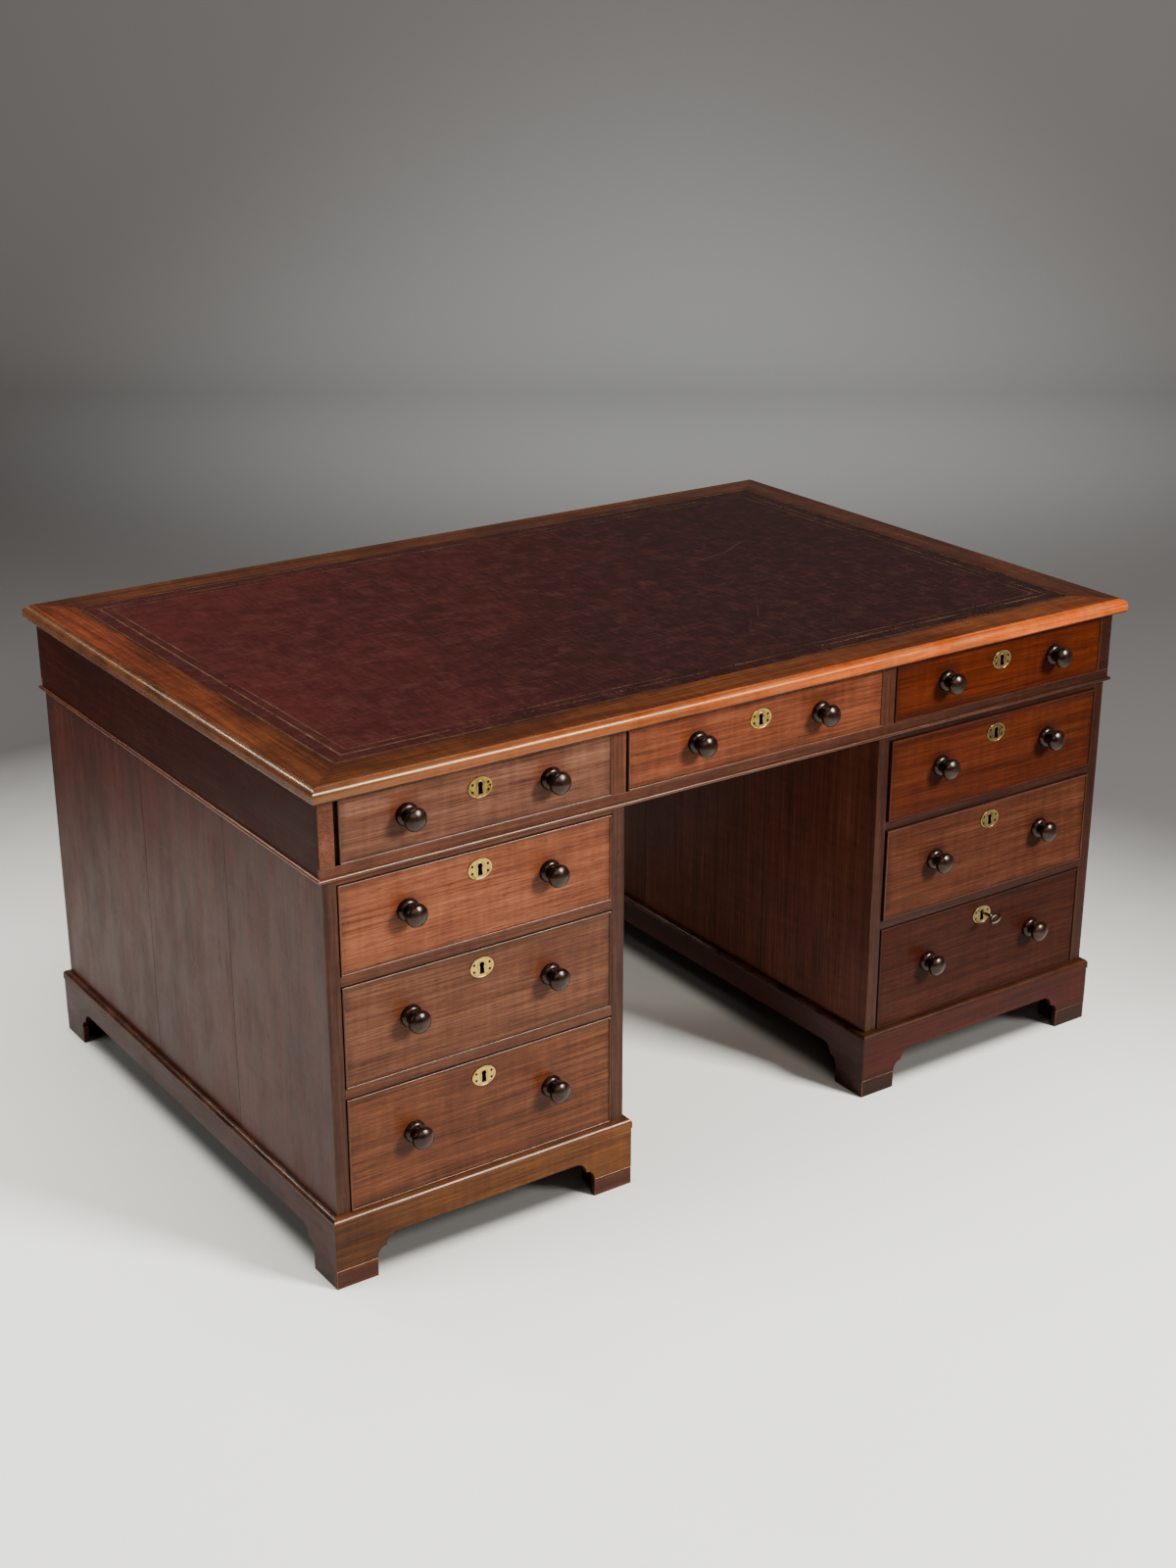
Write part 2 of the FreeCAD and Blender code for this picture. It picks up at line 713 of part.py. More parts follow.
def foot_pieces():
    pads = []
    face_x = pedestal_half_x + plinth_projection - plinth_step
    face_y = pedestal_half_y + plinth_projection - plinth_step
    leg = foot_width - plinth_step
    pad_z = (0, foot_pad_height)
    blocks = []
    for way_x in (-1, 1):
        for way_y in (-1, 1):
            wall_x = (way_x * pedestal_half_x, way_x * face_x)
            wall_y = (way_y * pedestal_half_y, way_y * face_y)
            across = box((way_x * (face_x - leg), way_x * face_x), wall_y, pad_z)
            along = box(wall_x, (way_y * (face_y - leg), way_y * face_y), pad_z)
            pads.append(one_solid(across.fuse(along)))
            blocks.append(box((way_x * (pedestal_half_x - foot_block_size), way_x * pedestal_half_x),
                              (way_y * (pedestal_half_y - foot_block_size), way_y * pedestal_half_y),
                              (0, plinth_underside)))
    return pads, blocks


# Butt hinges, on the outer side of the cupboard

def hinge_levels():
    return [plinth_height + hinge_setback, pedestal_ceiling - hinge_setback]


def leaf_plate(side, z):
    near = hinge_x + side * hinge_leaf_gap / 2
    far = near + side * hinge_leaf_thickness
    return box((near, far), (pedestal_half_y - hinge_leaf_width, hinge_y),
               (z - hinge_length / 2, z + hinge_length / 2))


def fixed_leaf_plate(z):
    return leaf_plate(1, z)


def moving_leaf_plate(z):
    return leaf_plate(-1, z)


def knuckle(radius, z, index, gap):
    step = hinge_length / hinge_knuckle_count
    base = z - hinge_length / 2 + index * step
    return Part.makeCylinder(radius, step - 2 * gap, Vector(hinge_x, hinge_y, base + gap), Vector(0, 0, 1))


def hinge_leaf(plate, z, first):
    clear = hinge_knuckle_radius + hinge_knuckle_clear
    own = [knuckle(hinge_knuckle_radius, z, index, hinge_knuckle_gap / 2)
           for index in range(first, hinge_knuckle_count, 2)]
    others = [knuckle(clear, z, index, 0) for index in range(1 - first, hinge_knuckle_count, 2)]
    bore = Part.makeCylinder(hinge_pin_radius + hinge_pin_fit, hinge_length,
                             Vector(hinge_x, hinge_y, z - hinge_length / 2), Vector(0, 0, 1))
    gaps = [plate_gap(z, index) for index in range(1, hinge_knuckle_count)]
    return one_solid(plate.cut(others + gaps).fuse(own).cut(bore))


def plate_gap(z, index):
    step = hinge_length / hinge_knuckle_count
    middle = z - hinge_length / 2 + index * step
    half = hinge_knuckle_gap / 2
    clear = hinge_knuckle_radius + hinge_knuckle_clear
    return box((hinge_x - clear, hinge_x + clear), (hinge_y - clear, hinge_y), (middle - half, middle + half))


def hinge_pin(z):
    return Part.makeCylinder(hinge_pin_radius, hinge_length, Vector(hinge_x, hinge_y, z - hinge_length / 2),
                             Vector(0, 0, 1))


# Cupboard door, hung on the outer side

def door():
    hang = opening_half - door_gap
    low = plinth_height + door_gap
    high = pedestal_ceiling - door_gap
    face = pedestal_half_y
    back = face - door_thickness
    span_y = (back, face)
    inner = hang - door_stile
    rail_low = low + door_bottom_rail
    rail_high = high - door_top_rail
    panel_y = (face - door_panel_setback - door_panel_thickness, face - door_panel_setback)
    panel = box(middle_span(inner + door_groove), panel_y, (rail_low - door_groove, rail_high + door_groove))
    middle_z = (low + high) / 2
    lock_x = -(hang - door_stile / 2)
    lock_z = middle_z + door_lock_rise
    knob_z = middle_z - door_knob_drop
    hole = turned_round(keyhole(keyhole_radius, keyhole_slot_width, (0, door_thickness - lock_depth)))
    pocket = box(middle_span(door_lock_half_width), (back, back + lock_depth),
                 (lock_z - door_lock_half_height, lock_z + door_lock_half_height))
    case = moved(pocket, lock_x, 0, 0)
    cuts = [panel, case, moved(hole, lock_x, face, lock_z),
            moved(turned_round(knob_hole(0, 0)), lock_x, face, knob_z)]
    cuts += [moving_leaf_plate(z) for z in hinge_levels()]
    frame = [box((inner, hang), span_y, (low, high)),
             box((-hang, -inner), span_y, (low, high)),
             box(middle_span(inner), span_y, (low, rail_low)),
             box(middle_span(inner), span_y, (rail_high, high))]
    frame = [piece.cut(cuts).Solids[0] for piece in frame]
    knob = moved(turned_round(turned_knob()), lock_x, face, knob_z)
    plate = [moved(turned_round(piece), lock_x, face, lock_z) for piece in escutcheon()]
    leaves = [hinge_leaf(moving_leaf_plate(z), z, 1) for z in hinge_levels()]
    return {"door": frame + [panel] + door_mouldings(inner, rail_low, rail_high) + [knob],
            "door_fittings": plate + [case] + leaves}


def door_mouldings(inner, rail_low, rail_high):
    # Quarter-round strips that frame the sunk panel.
    size = door_moulding
    corner = Vector(0, size, 0)
    tip = Vector(0, 0, size)
    profile = polyline([corner, Vector(0, 0, 0), tip])
    profile.append(short_arc(tip, corner, Vector(0, size, size)))
    strips = upright_ring(inner, (rail_high - rail_low) / 2, size, profile, (rail_low + rail_high) / 2)
    face = pedestal_half_y - door_panel_setback
    return [moved(turned_round(strip), 0, face, 0) for strip in strips]


def hinge_plates():
    pieces = []
    for z in hinge_levels():
        pieces += [hinge_leaf(fixed_leaf_plate(z), z, 0), hinge_pin(z)]
    return pieces


# Whole desk

def add_drawer(nodes, name, pieces, place):
    for part in ("drawer", "knobs", "lock"):
        nodes[f"{name}_{part}"] = [place(piece) for piece in pieces[part]]
    if name == "right_bottom":
        nodes["lock_bolt"] = [place(pieces["bolt"])]
        nodes["drawer_key"] = [place(pieces["key"])]
    else:
        nodes[f"{name}_lock"].append(place(pieces["bolt"]))


def frieze_drawers(nodes):
    for name, middle, width in frieze_drawer_places():
        knob_x = width / 2 * (centre_knob_share if name == "centre" else knob_share)
        slack = front_slack[name]
        front, rear = [drawer_pieces(span, frieze_opening, frieze_drawer_room, frieze_lock_drop, knob_x,
                                     frieze_knob_rise) for span in (width - slack, width)]

        def front_place(shape, x=middle + slack / 2):
            return moved(shape, x, -frieze_half_y, frieze_base)

        def rear_place(shape, x=middle):
            return moved(turned_round(shape), x, frieze_half_y, frieze_base)

        add_drawer(nodes, f"frieze_{name}", front, front_place)
        add_drawer(nodes, f"rear_{name}", rear, rear_place)


def pedestals(nodes):
    case = pedestal_case()
    pads, blocks = foot_pieces()
    door_set = door()
    drawers = {name: drawer_pieces(2 * opening_half, height, pedestal_drawer_room, pedestal_lock_drop,
                                   opening_half * knob_share, knob_rise)
               for name, base, height in pedestal_openings()}
    nodes["foot_blocks"] = []
    nodes["hinge_plates"] = []
    for name, way in (("left", -1), ("right", 1)):

        def handed(shape, side=way):
            mirror = mirrored_x(shape) if side < 0 else shape
            return moved(mirror, side * pedestal_centre, 0, 0)

        nodes[f"{name}_pedestal_sides"] = [handed(piece) for piece in case["sides"]]
        nodes[f"{name}_pedestal_boards"] = [handed(piece) for piece in case["boards"]]
        nodes[f"{name}_drawer_blades"] = [handed(piece) for piece in case["blades"]]
        nodes[f"{name}_plinth"] = [handed(piece) for piece in plinth() + pads]
        nodes["foot_blocks"] += [handed(piece) for piece in blocks]
        nodes["hinge_plates"] += [handed(piece) for piece in hinge_plates()]
        nodes[f"{name}_door"] = [handed(piece) for piece in door_set["door"]]
        nodes[f"{name}_door_fittings"] = [handed(piece) for piece in door_set["door_fittings"]]
        for level, base, height in pedestal_openings():

            pull = drawer_pull.get(f"{name}_{level}", 0.0)

            def drawer_place(shape, y=-pedestal_half_y - pull, z=base, side=way):
                return moved(shape, side * pedestal_centre, y, z)

            add_drawer(nodes, f"{name}_{level}", drawers[level], drawer_place)


def build():
    nodes = {}
    nodes.update(writing_top())
    nodes.update(frieze())
    frieze_drawers(nodes)
    pedestals(nodes)
    os.makedirs("parts", exist_ok=True)
    for name, solids in nodes.items():
        Part.makeCompound(solids).exportStep(f"parts/{name}.step")
    print(len(nodes), "nodes,", sum(len(solids) for solids in nodes.values()), "solids")


build()
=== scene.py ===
import json
import math
import random

import bmesh
import bpy
import numpy as np
from mathutils import Matrix, Vector


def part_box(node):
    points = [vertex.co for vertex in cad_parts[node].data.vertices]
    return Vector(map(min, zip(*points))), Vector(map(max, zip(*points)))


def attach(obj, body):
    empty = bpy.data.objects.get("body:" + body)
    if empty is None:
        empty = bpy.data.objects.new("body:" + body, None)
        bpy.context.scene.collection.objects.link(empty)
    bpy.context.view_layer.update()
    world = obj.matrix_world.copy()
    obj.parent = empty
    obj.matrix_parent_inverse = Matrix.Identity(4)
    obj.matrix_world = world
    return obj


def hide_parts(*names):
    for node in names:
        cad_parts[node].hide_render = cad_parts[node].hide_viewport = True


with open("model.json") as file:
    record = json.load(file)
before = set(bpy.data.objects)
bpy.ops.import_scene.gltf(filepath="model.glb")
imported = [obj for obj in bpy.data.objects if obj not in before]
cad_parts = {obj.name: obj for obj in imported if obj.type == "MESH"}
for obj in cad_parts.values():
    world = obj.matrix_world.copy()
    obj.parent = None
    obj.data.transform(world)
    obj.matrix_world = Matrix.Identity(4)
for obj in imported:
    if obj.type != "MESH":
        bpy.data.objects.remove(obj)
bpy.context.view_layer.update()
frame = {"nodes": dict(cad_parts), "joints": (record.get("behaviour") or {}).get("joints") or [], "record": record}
nodes = frame["nodes"]
bodyOf = {node: body for body, members in frame["record"]["behaviour"]["bodies"].items() for node in members}
slotOf = {part["node"]: part["material_slot"] for part in frame["record"]["subparts"]}
joints = {joint["name"]: joint for joint in frame["joints"]}
print("frame loaded:", len(nodes), "nodes")


# Short forms for node trees

def addNode(tree, kind, values=None, **settings):
    made = tree.nodes.new(kind)
    for key, value in settings.items():
        setattr(made, key, value)
    for key, value in (values or {}).items():
        if isinstance(value, bpy.types.NodeSocket):
            tree.links.new(value, made.inputs[key])
        else:
            made.inputs[key].default_value = value
    return made


def feedNode(kind, values, **settings):
    # A node in the tree of the sockets that feed it.
    tree = next(value.id_data for value in values.values() if isinstance(value, bpy.types.NodeSocket))
    return addNode(tree, kind, values, **settings)


def mathOf(operation, first, second=0.0):
    return feedNode("ShaderNodeMath", {0: first, 1: second}, operation=operation).outputs[0]


def vectorOf(operation, first, second):
    return feedNode("ShaderNodeVectorMath", {0: first, 1: second}, operation=operation).outputs[0]


def times(first, second):
    return mathOf("MULTIPLY", first, second)


def plus(first, second):
    return mathOf("ADD", first, second)


def minus(first, second):
    return mathOf("SUBTRACT", first, second)


def sizeOf(value):
    return mathOf("ABSOLUTE", value)


def joinXyz(x=0.0, y=0.0, z=0.0):
    return feedNode("ShaderNodeCombineXYZ", {0: x, 1: y, 2: z}).outputs[0]


def gapOf(first, second=(0.0, 0.0, 0.0)):
    return feedNode("ShaderNodeVectorMath", {0: first, 1: second}, operation="DISTANCE").outputs["Value"]


def spotOf(tree):
    return addNode(tree, "ShaderNodeTexCoord").outputs["Object"]


def fadeIn(value, start, end, low=0.0, high=1.0):
    limits = {"Value": value, "From Min": start, "From Max": end, "To Min": low, "To Max": high}
    return feedNode("ShaderNodeMapRange", limits, interpolation_type="SMOOTHSTEP").outputs["Result"]


def noiseOf(vector, stretch, detail=3.0, roughness=0.55):
    spread = vectorOf("MULTIPLY", vector, stretch)
    values = {"Vector": spread, "Scale": 1.0, "Detail": detail, "Roughness": roughness}
    return feedNode("ShaderNodeTexNoise", values).outputs["Fac"]


def mixColour(amount, first, second, way="MIX"):
    values = {0: amount, 6: first, 7: second}
    return feedNode("ShaderNodeMix", values, data_type="RGBA", blend_type=way).outputs[2]


def rampOf(value, stops):
    made = feedNode("ShaderNodeValToRGB", {0: value})
    points = made.color_ramp.elements
    points[0].position, points[0].color = stops[0][0], opaque(stops[0][1])
    points[1].position, points[1].color = stops[-1][0], opaque(stops[-1][1])
    for place, colour in stops[1:-1]:
        points.new(place).color = opaque(colour)
    return made.outputs[0]


def opaque(colour):
    return (*colour, 1.0)


def attributeOf(tree, name, output="Vector"):
    return addNode(tree, "ShaderNodeAttribute", attribute_name=name).outputs[output]


def parts(vector):
    return feedNode("ShaderNodeSeparateXYZ", {0: vector}).outputs


def newFinish(name, **constants):
    material = bpy.data.materials.new(name)
    material.use_nodes = True
    shader = material.node_tree.nodes["Principled BSDF"]
    for socket, value in constants.items():
        shader.inputs[socket.replace("_", " ")].default_value = value
    return material, material.node_tree, shader


def connect(shader, colour, roughness, height=None, strength=0.0, depth=0.0):
    links = shader.id_data.links
    links.new(colour, shader.inputs["Base Color"])
    links.new(roughness, shader.inputs["Roughness"])
    if height is not None:
        bump = feedNode("ShaderNodeBump", {"Strength": strength, "Distance": depth, "Height": height})
        links.new(bump.outputs[0], shader.inputs["Normal"])


# Timber finishes. Every board carries place (from its middle, grain first), reach (its half sizes),
# boardSeed (where in the log it was cut), tint, edgeWear and grimeAndShade (dirt in joints, painted
# shade on the bead sides in the gaps and inside the keyhole).
timberColumns = ("deep", "body", "pale", "worn", "edge", "rim", "gloss", "spec")
timberRows = {
    "frontMahogany": ((0.024, 0.0062, 0.0026), (0.076, 0.0232, 0.0092), (0.136, 0.050, 0.021),
        (0.330, 0.150, 0.070), 0.60, 0.45, (0.30, 0.44), 0.12),
    # The dark copies are for the right pedestal: partly the wood's own darker tone, partly painted shade with less
    # sheen.
    "darkFrontMahogany": ((0.0082, 0.0016, 0.0005), (0.0200, 0.0042, 0.0012), (0.034, 0.0084, 0.0028),
        (0.180, 0.065, 0.028), 0.60, 0.45, (0.34, 0.48), 0.05),
    "endMahogany": ((0.018, 0.0034, 0.0020), (0.036, 0.0066, 0.0036), (0.062, 0.014, 0.0080),
        (0.150, 0.050, 0.026), 0.45, 0.50, (0.28, 0.40), 0.13),
    # Painted shade: a darker, less glossy copy of the end mahogany for the frieze ends under the top's overhang.
    "friezeMahogany": ((0.0100, 0.0016, 0.0008), (0.0185, 0.0026, 0.0013), (0.036, 0.0072, 0.0040),
        (0.150, 0.050, 0.026), 0.45, 0.40, (0.30, 0.42), 0.05),
    "caseMahogany": ((0.014, 0.0038, 0.0020), (0.040, 0.0118, 0.0054), (0.076, 0.026, 0.0125),
        (0.200, 0.080, 0.040), 0.20, 0.10, (0.30, 0.44), 0.12),
    "beadMahogany": ((0.016, 0.0044, 0.0020), (0.046, 0.0138, 0.0062), (0.090, 0.030, 0.014),
        (0.240, 0.095, 0.045), 0.40, 0.0, (0.21, 0.30), 0.28),
    # Beads of the right pedestal: partly their own darker tone, partly painted shade with less sheen.
    "darkBeadMahogany": ((0.006, 0.0013, 0.0005), (0.0170, 0.0038, 0.0014), (0.034, 0.0090, 0.0036),
        (0.120, 0.045, 0.020), 0.30, 0.0, (0.28, 0.38), 0.07),
    # Painted shade: a copy with less sheen and its own colour, for the shaded kneehole sides.
    "kneeMahogany": ((0.0360, 0.0078, 0.0035), (0.0780, 0.0180, 0.0082), (0.130, 0.0360, 0.0180),
        (0.150, 0.050, 0.026), 0.45, 0.40, (0.30, 0.42), 0.05),
    # Near-black copy, for painted shade inside the case and on the foot blocks.
    "innerMahogany": ((0.0050, 0.0016, 0.0008), (0.0110, 0.0036, 0.0018), (0.022, 0.0080, 0.0040),
        (0.060, 0.025, 0.012), 0.30, 0.30, (0.55, 0.70), 0.08),
    "borderMahogany": ((0.024, 0.0056, 0.0014), (0.076, 0.0190, 0.0048), (0.170, 0.050, 0.014),
        (0.300, 0.090, 0.020), 0.45, 0.60, (0.26, 0.38), 0.13),
    "noseMahogany": ((0.026, 0.0076, 0.0028), (0.078, 0.0230, 0.0080), (0.150, 0.050, 0.019),
        (0.210, 0.075, 0.028), 0.40, 0.0, (0.22, 0.32), 0.38),
    "liningPine": ((0.090, 0.040, 0.016), (0.190, 0.095, 0.042), (0.290, 0.160, 0.080),
        (0.340, 0.210, 0.120), 0.40, 0.45, (0.55, 0.70), 0.20),
}
timber = {name: dict(zip(timberColumns, row)) for name, row in timberRows.items()}
timber["frontMahogany"].update(halo=0.60, stain=(0.060, 0.0110, 0.0030))
timber["darkFrontMahogany"].update(halo=0.45, stain=(0.014, 0.0024, 0.0008))
timber["beadMahogany"]["sheen"] = (1.0, 0.78, 0.60)
timber["noseMahogany"]["sheen"] = (1.0, 0.80, 0.46)
timber["borderMahogany"]["cloud"] = 0.32
timber["plinthMahogany"] = {**timber["endMahogany"], "edge": 0.35, "spec": 0.095}
# Dark colour for dirt at board rims and joints, and for painted shade in the bead gaps and the keyhole.
sootAndShade = (0.006, 0.003, 0.002)
figure = {"ribbon": 0.24, "fibre": 0.50, "cloud": 0.15, "fleck": 0.11}
knobSpread, knobRise = 0.118, 0.004       # knobs on a drawer front, from its middle


def timberFinish(name, look):
    material, tree, shader = newFinish(name, Specular_IOR_Level=look["spec"],
                                       Specular_Tint=opaque(look.get("sheen", (1.0, 1.0, 1.0))))
    place, reach = attributeOf(tree, "place"), attributeOf(tree, "reach")
    grain = vectorOf("ADD", place, attributeOf(tree, "boardSeed"))
    sway = noiseOf(grain, (1.6, 5.0, 5.0), 1.0)
    bend = joinXyz(0.0, times(sway, 0.014), times(sway, 0.010))
    swayed = vectorOf("ADD", grain, bend)
    ribbon = noiseOf(swayed, (1.1, 60.0, 60.0), 3.0, 0.6)
    fibre = noiseOf(swayed, (7.0, 290.0, 290.0), 4.0, 0.72)
    cloud = noiseOf(grain, (4.0, 8.0, 8.0), 2.0)
    fleck = noiseOf(grain, (85.0, 14.0, 14.0), 2.0)
    pores = noiseOf(grain, (62.0, 760.0, 760.0), 1.0)
    shade = times(ribbon, figure["ribbon"])
    cloudShare = look.get("cloud", figure["cloud"])
    for layer, share in ((fibre, figure["fibre"]), (cloud, cloudShare), (fleck, figure["fleck"])):
        shade = plus(shade, times(layer, share))
    shade = minus(shade, 0.5 * (cloudShare - figure["cloud"]))
    colour = rampOf(shade, [(0.37, look["deep"]), (0.50, look["body"]), (0.63, look["pale"])])
    poreMask = fadeIn(pores, 0.60, 0.72, 0.0, 0.55)
    colour = mixColour(poreMask, colour, opaque([part * 0.6 for part in look["deep"]]))
    colour = mixColour(1.0, colour, attributeOf(tree, "tint", "Color"), "MULTIPLY")
    patches = noiseOf(grain, (14.0, 30.0, 30.0), 3.0, 0.6)
    here, half = parts(place), parts(reach)
    toEnd = minus(half[0], sizeOf(here[0]))
    toSide = minus(half[1], sizeOf(here[1]))
    rimWidth = mathOf("MINIMUM", times(half[1], 0.45), 0.022)
    rim = fadeIn(mathOf("MINIMUM", toEnd, toSide), rimWidth, 0.001, 0.0, look["rim"])
    rim = times(rim, fadeIn(patches, 0.30, 0.65))
    colour = mixColour(rim, colour, opaque(sootAndShade))
    if "halo" in look:
        aside = minus(sizeOf(here[0]), knobSpread)
        above = minus(here[1], knobRise)
        away = plus(gapOf(joinXyz(aside, above)), times(patches, 0.012))
        halo = fadeIn(away, 0.044, 0.021, 0.0, look["halo"])
        colour = mixColour(halo, colour, opaque(look["stain"]))
    wear = times(attributeOf(tree, "edgeWear", "Fac"), fadeIn(patches, 0.34, 0.60))
    colour = mixColour(times(wear, look["edge"]), colour, opaque(look["worn"]))
    # Dirt in the joints, and painted shade on the bead sides in the gaps and inside the keyhole.
    grimeAndShade = attributeOf(tree, "grimeAndShade", "Fac")
    colour = mixColour(grimeAndShade, colour, opaque(sootAndShade))
    dull = fadeIn(noiseOf(grain, (9.0, 22.0, 22.0), 3.0), 0.3, 0.7, *look["gloss"])
    dull = plus(dull, times(poreMask, 0.2))
    dull = mathOf("MAXIMUM", dull, times(grimeAndShade, 0.95))
    height = minus(fibre, times(poreMask, 0.8))
    connect(shader, colour, dull, height, 0.16, 0.00035)
    return material


def knobFinish():
    material, tree, shader = newFinish("darkKnobMahogany", Specular_IOR_Level=0.30,
                                       Specular_Tint=(1.0, 0.80, 0.68, 1.0))
    grain = vectorOf("ADD", attributeOf(tree, "place"), attributeOf(tree, "boardSeed"))
    streak = noiseOf(grain, (30.0, 190.0, 190.0), 4.0, 0.6)
    colour = rampOf(streak, [(0.32, (0.003, 0.0011, 0.0006)), (0.55, (0.008, 0.0028, 0.0014)),
                                   (0.75, (0.018, 0.0066, 0.0034))])
    rubbed = fadeIn(noiseOf(grain, (40.0, 40.0, 40.0), 3.0), 0.50, 0.74, 0.0, 0.30)
    colour = mixColour(rubbed, colour, opaque((0.044, 0.0170, 0.0086)))
    dull = fadeIn(noiseOf(grain, (60.0, 60.0, 60.0), 2.0), 0.3, 0.7, 0.18, 0.30)
    connect(shader, colour, dull, streak, 0.05, 0.0002)
    return material


def leatherFinish(look):
    material, tree, shader = newFinish("oxbloodHide", Specular_IOR_Level=0.16)
    spot = spotOf(tree)
    broad = noiseOf(spot, (2.3, 2.6, 1.0), 4.0, 0.62)
    mottle = noiseOf(spot, (22.0, 26.0, 1.0), 6.0, 0.78)
    weft, warp = noiseOf(spot, (26.0, 330.0, 1.0), 2.0), noiseOf(spot, (330.0, 26.0, 1.0), 2.0)
    weave = plus(weft, warp)
    along = parts(spot)
    lean = fadeIn(minus(times(along[1], 0.5), along[0]), -0.55, 0.75)
    shade = times(broad, look["broad"])
    for layer, share in ((lean, look["lean"]), (mottle, look["mottle"]), (weave, look["weave"])):
        shade = plus(shade, times(layer, share))
    shade = minus(shade, look["darker"])
    colour = rampOf(shade, [(0.36, look["dark"]), (0.52, look["body"]), (0.70, look["faded"])])
    toEnd = minus(look["halfLength"], sizeOf(along[0]))
    toSide = minus(look["halfDepth"], sizeOf(along[1]))
    margin = fadeIn(mathOf("MINIMUM", toEnd, toSide), 0.046, 0.030, 0.0, 0.35)
    colour = mixColour(margin, colour, opaque(look["dark"]))
    scuffs = None
    for turn, pitch, seed in look["scratches"]:
        turned = addNode(tree, "ShaderNodeMapping", {"Vector": spot, "Location": (seed, seed * 1.7, 0.0),
                                                     "Rotation": (0.0, 0.0, math.radians(turn))}).outputs[0]
        lines = fadeIn(noiseOf(turned, (5.0, pitch, 1.0), 1.0, 0.4), 0.735, 0.765)
        gate = fadeIn(noiseOf(turned, (4.0, 7.0, 1.0), 2.0), 0.55, 0.66)
        lines = times(lines, gate)
        scuffs = lines if scuffs is None else mathOf("MAXIMUM", scuffs, lines)
    bowXyz = parts(vectorOf("SUBTRACT", spot, look["bowCentre"]))
    reach = gapOf(joinXyz(bowXyz[0], bowXyz[1]))
    wander = times(noiseOf(spot, (26.0, 26.0, 1.0), 2.0), 0.012)
    offBow = sizeOf(minus(plus(reach, wander), look["bowRadius"]))
    onBow = fadeIn(offBow, 0.0022, 0.0004)
    ends = fadeIn(sizeOf(minus(along[0], look["bowMiddle"])), 0.095, 0.06)
    scuffs = mathOf("MAXIMUM", scuffs, times(onBow, ends))
    rubbed = plus(times(weave, 0.3), times(mottle, 0.4))
    colour = mixColour(fadeIn(rubbed, 0.46, 0.64, 0.0, 0.42), colour, opaque(look["rubbed"]))
    colour = mixColour(times(scuffs, look["scuffing"]), colour, opaque(look["scuffed"]))
    pebble = addNode(tree, "ShaderNodeTexVoronoi", {"Vector": spot, "Scale": 620.0, "Randomness": 1.0},
                     feature="SMOOTH_F1").outputs["Distance"]
    ripple = noiseOf(spot, (11.0, 11.0, 1.0), 2.0)
    height = plus(times(pebble, 0.35), times(ripple, 1.0))
    height = minus(height, times(scuffs, 0.3))
    dull = fadeIn(mottle, 0.3, 0.7, 0.40, 0.48)
    connect(shader, colour, dull, height, 0.22, 0.0005)
    return material


def giltFinish(name, bright):
    material, tree, shader = newFinish(name, Metallic=0.75, Specular_IOR_Level=0.5)
    spot = spotOf(tree)
    rub = noiseOf(spot, (30.0, 30.0, 1.0), 4.0, 0.65)
    stops = [(0.35, (0.110, 0.046, 0.020)), (0.52, (0.260, 0.145, 0.060)), (0.70, (0.460, 0.300, 0.140))]
    colour = rampOf(rub, [(place, [part * bright for part in shade]) for place, shade in stops])
    connect(shader, colour, fadeIn(rub, 0.3, 0.7, 0.55, 0.40))
    return material


def brassFinish(name, pale, tarnish):
    material, tree, shader = newFinish(name, Metallic=0.9, Specular_IOR_Level=0.3)
    spot = vectorOf("ADD", attributeOf(tree, "place"), attributeOf(tree, "boardSeed"))
    age = noiseOf(spot, (190.0, 190.0, 190.0), 4.0, 0.65)
    bright = plus(times(attributeOf(tree, "lift", "Fac"), 0.62), times(age, 0.55))
    colour = rampOf(bright, [(0.22, tarnish), (0.50, [0.5 * (a + b) for a, b in zip(pale, tarnish)]),
                                   (0.80, pale)])
    connect(shader, colour, fadeIn(age, 0.3, 0.7, 0.26, 0.44), age, 0.12, 0.0002)
    return material


def steelFinish():
    material, tree, shader = newFinish("wornKeySteel", Metallic=1.0, Specular_IOR_Level=0.5)
    spot = vectorOf("ADD", attributeOf(tree, "place"), attributeOf(tree, "boardSeed"))
    rust = noiseOf(spot, (160.0, 160.0, 160.0), 4.0, 0.6)
    colour = rampOf(rust, [(0.35, (0.060, 0.042, 0.030)), (0.52, (0.170, 0.150, 0.125)),
                                 (0.72, (0.380, 0.350, 0.310))])
    connect(shader, colour, fadeIn(rust, 0.35, 0.65, 0.42, 0.24), rust, 0.10, 0.0002)
    return material


leather = {"dark": (0.0085, 0.0011, 0.0009), "body": (0.0150, 0.0014, 0.0011),
           "faded": (0.0340, 0.0034, 0.0026), "rubbed": (0.0520, 0.0170, 0.0130),
           "scuffed": (0.140, 0.060, 0.045), "scuffing": 0.17, "halfLength": 0.694, "halfDepth": 0.435,
           "broad": 0.45, "lean": 0.32, "mottle": 0.36, "weave": 0.25, "darker": 0.29,
           "scratches": [(12.0, 520.0, 0.31), (74.0, 610.0, 1.13), (128.0, 560.0, 2.07), (41.0, 480.0, 3.40)],
           "bowCentre": (0.29, 0.34, 0.78), "bowRadius": 0.262, "bowMiddle": 0.372,
           "inset": 0.0005, "grid": (120, 76), "swell": 0.00007, "roll": 0.0008}

brass = {"plateBrass": ((0.520, 0.345, 0.078), (0.045, 0.028, 0.009)),
         "darkPlateBrass": ((0.240, 0.165, 0.060), (0.024, 0.016, 0.006)),
         "lockBrass": ((0.420, 0.290, 0.100), (0.090, 0.058, 0.020)),
         "pinBrass": ((0.060, 0.036, 0.010), (0.008, 0.005, 0.002))}

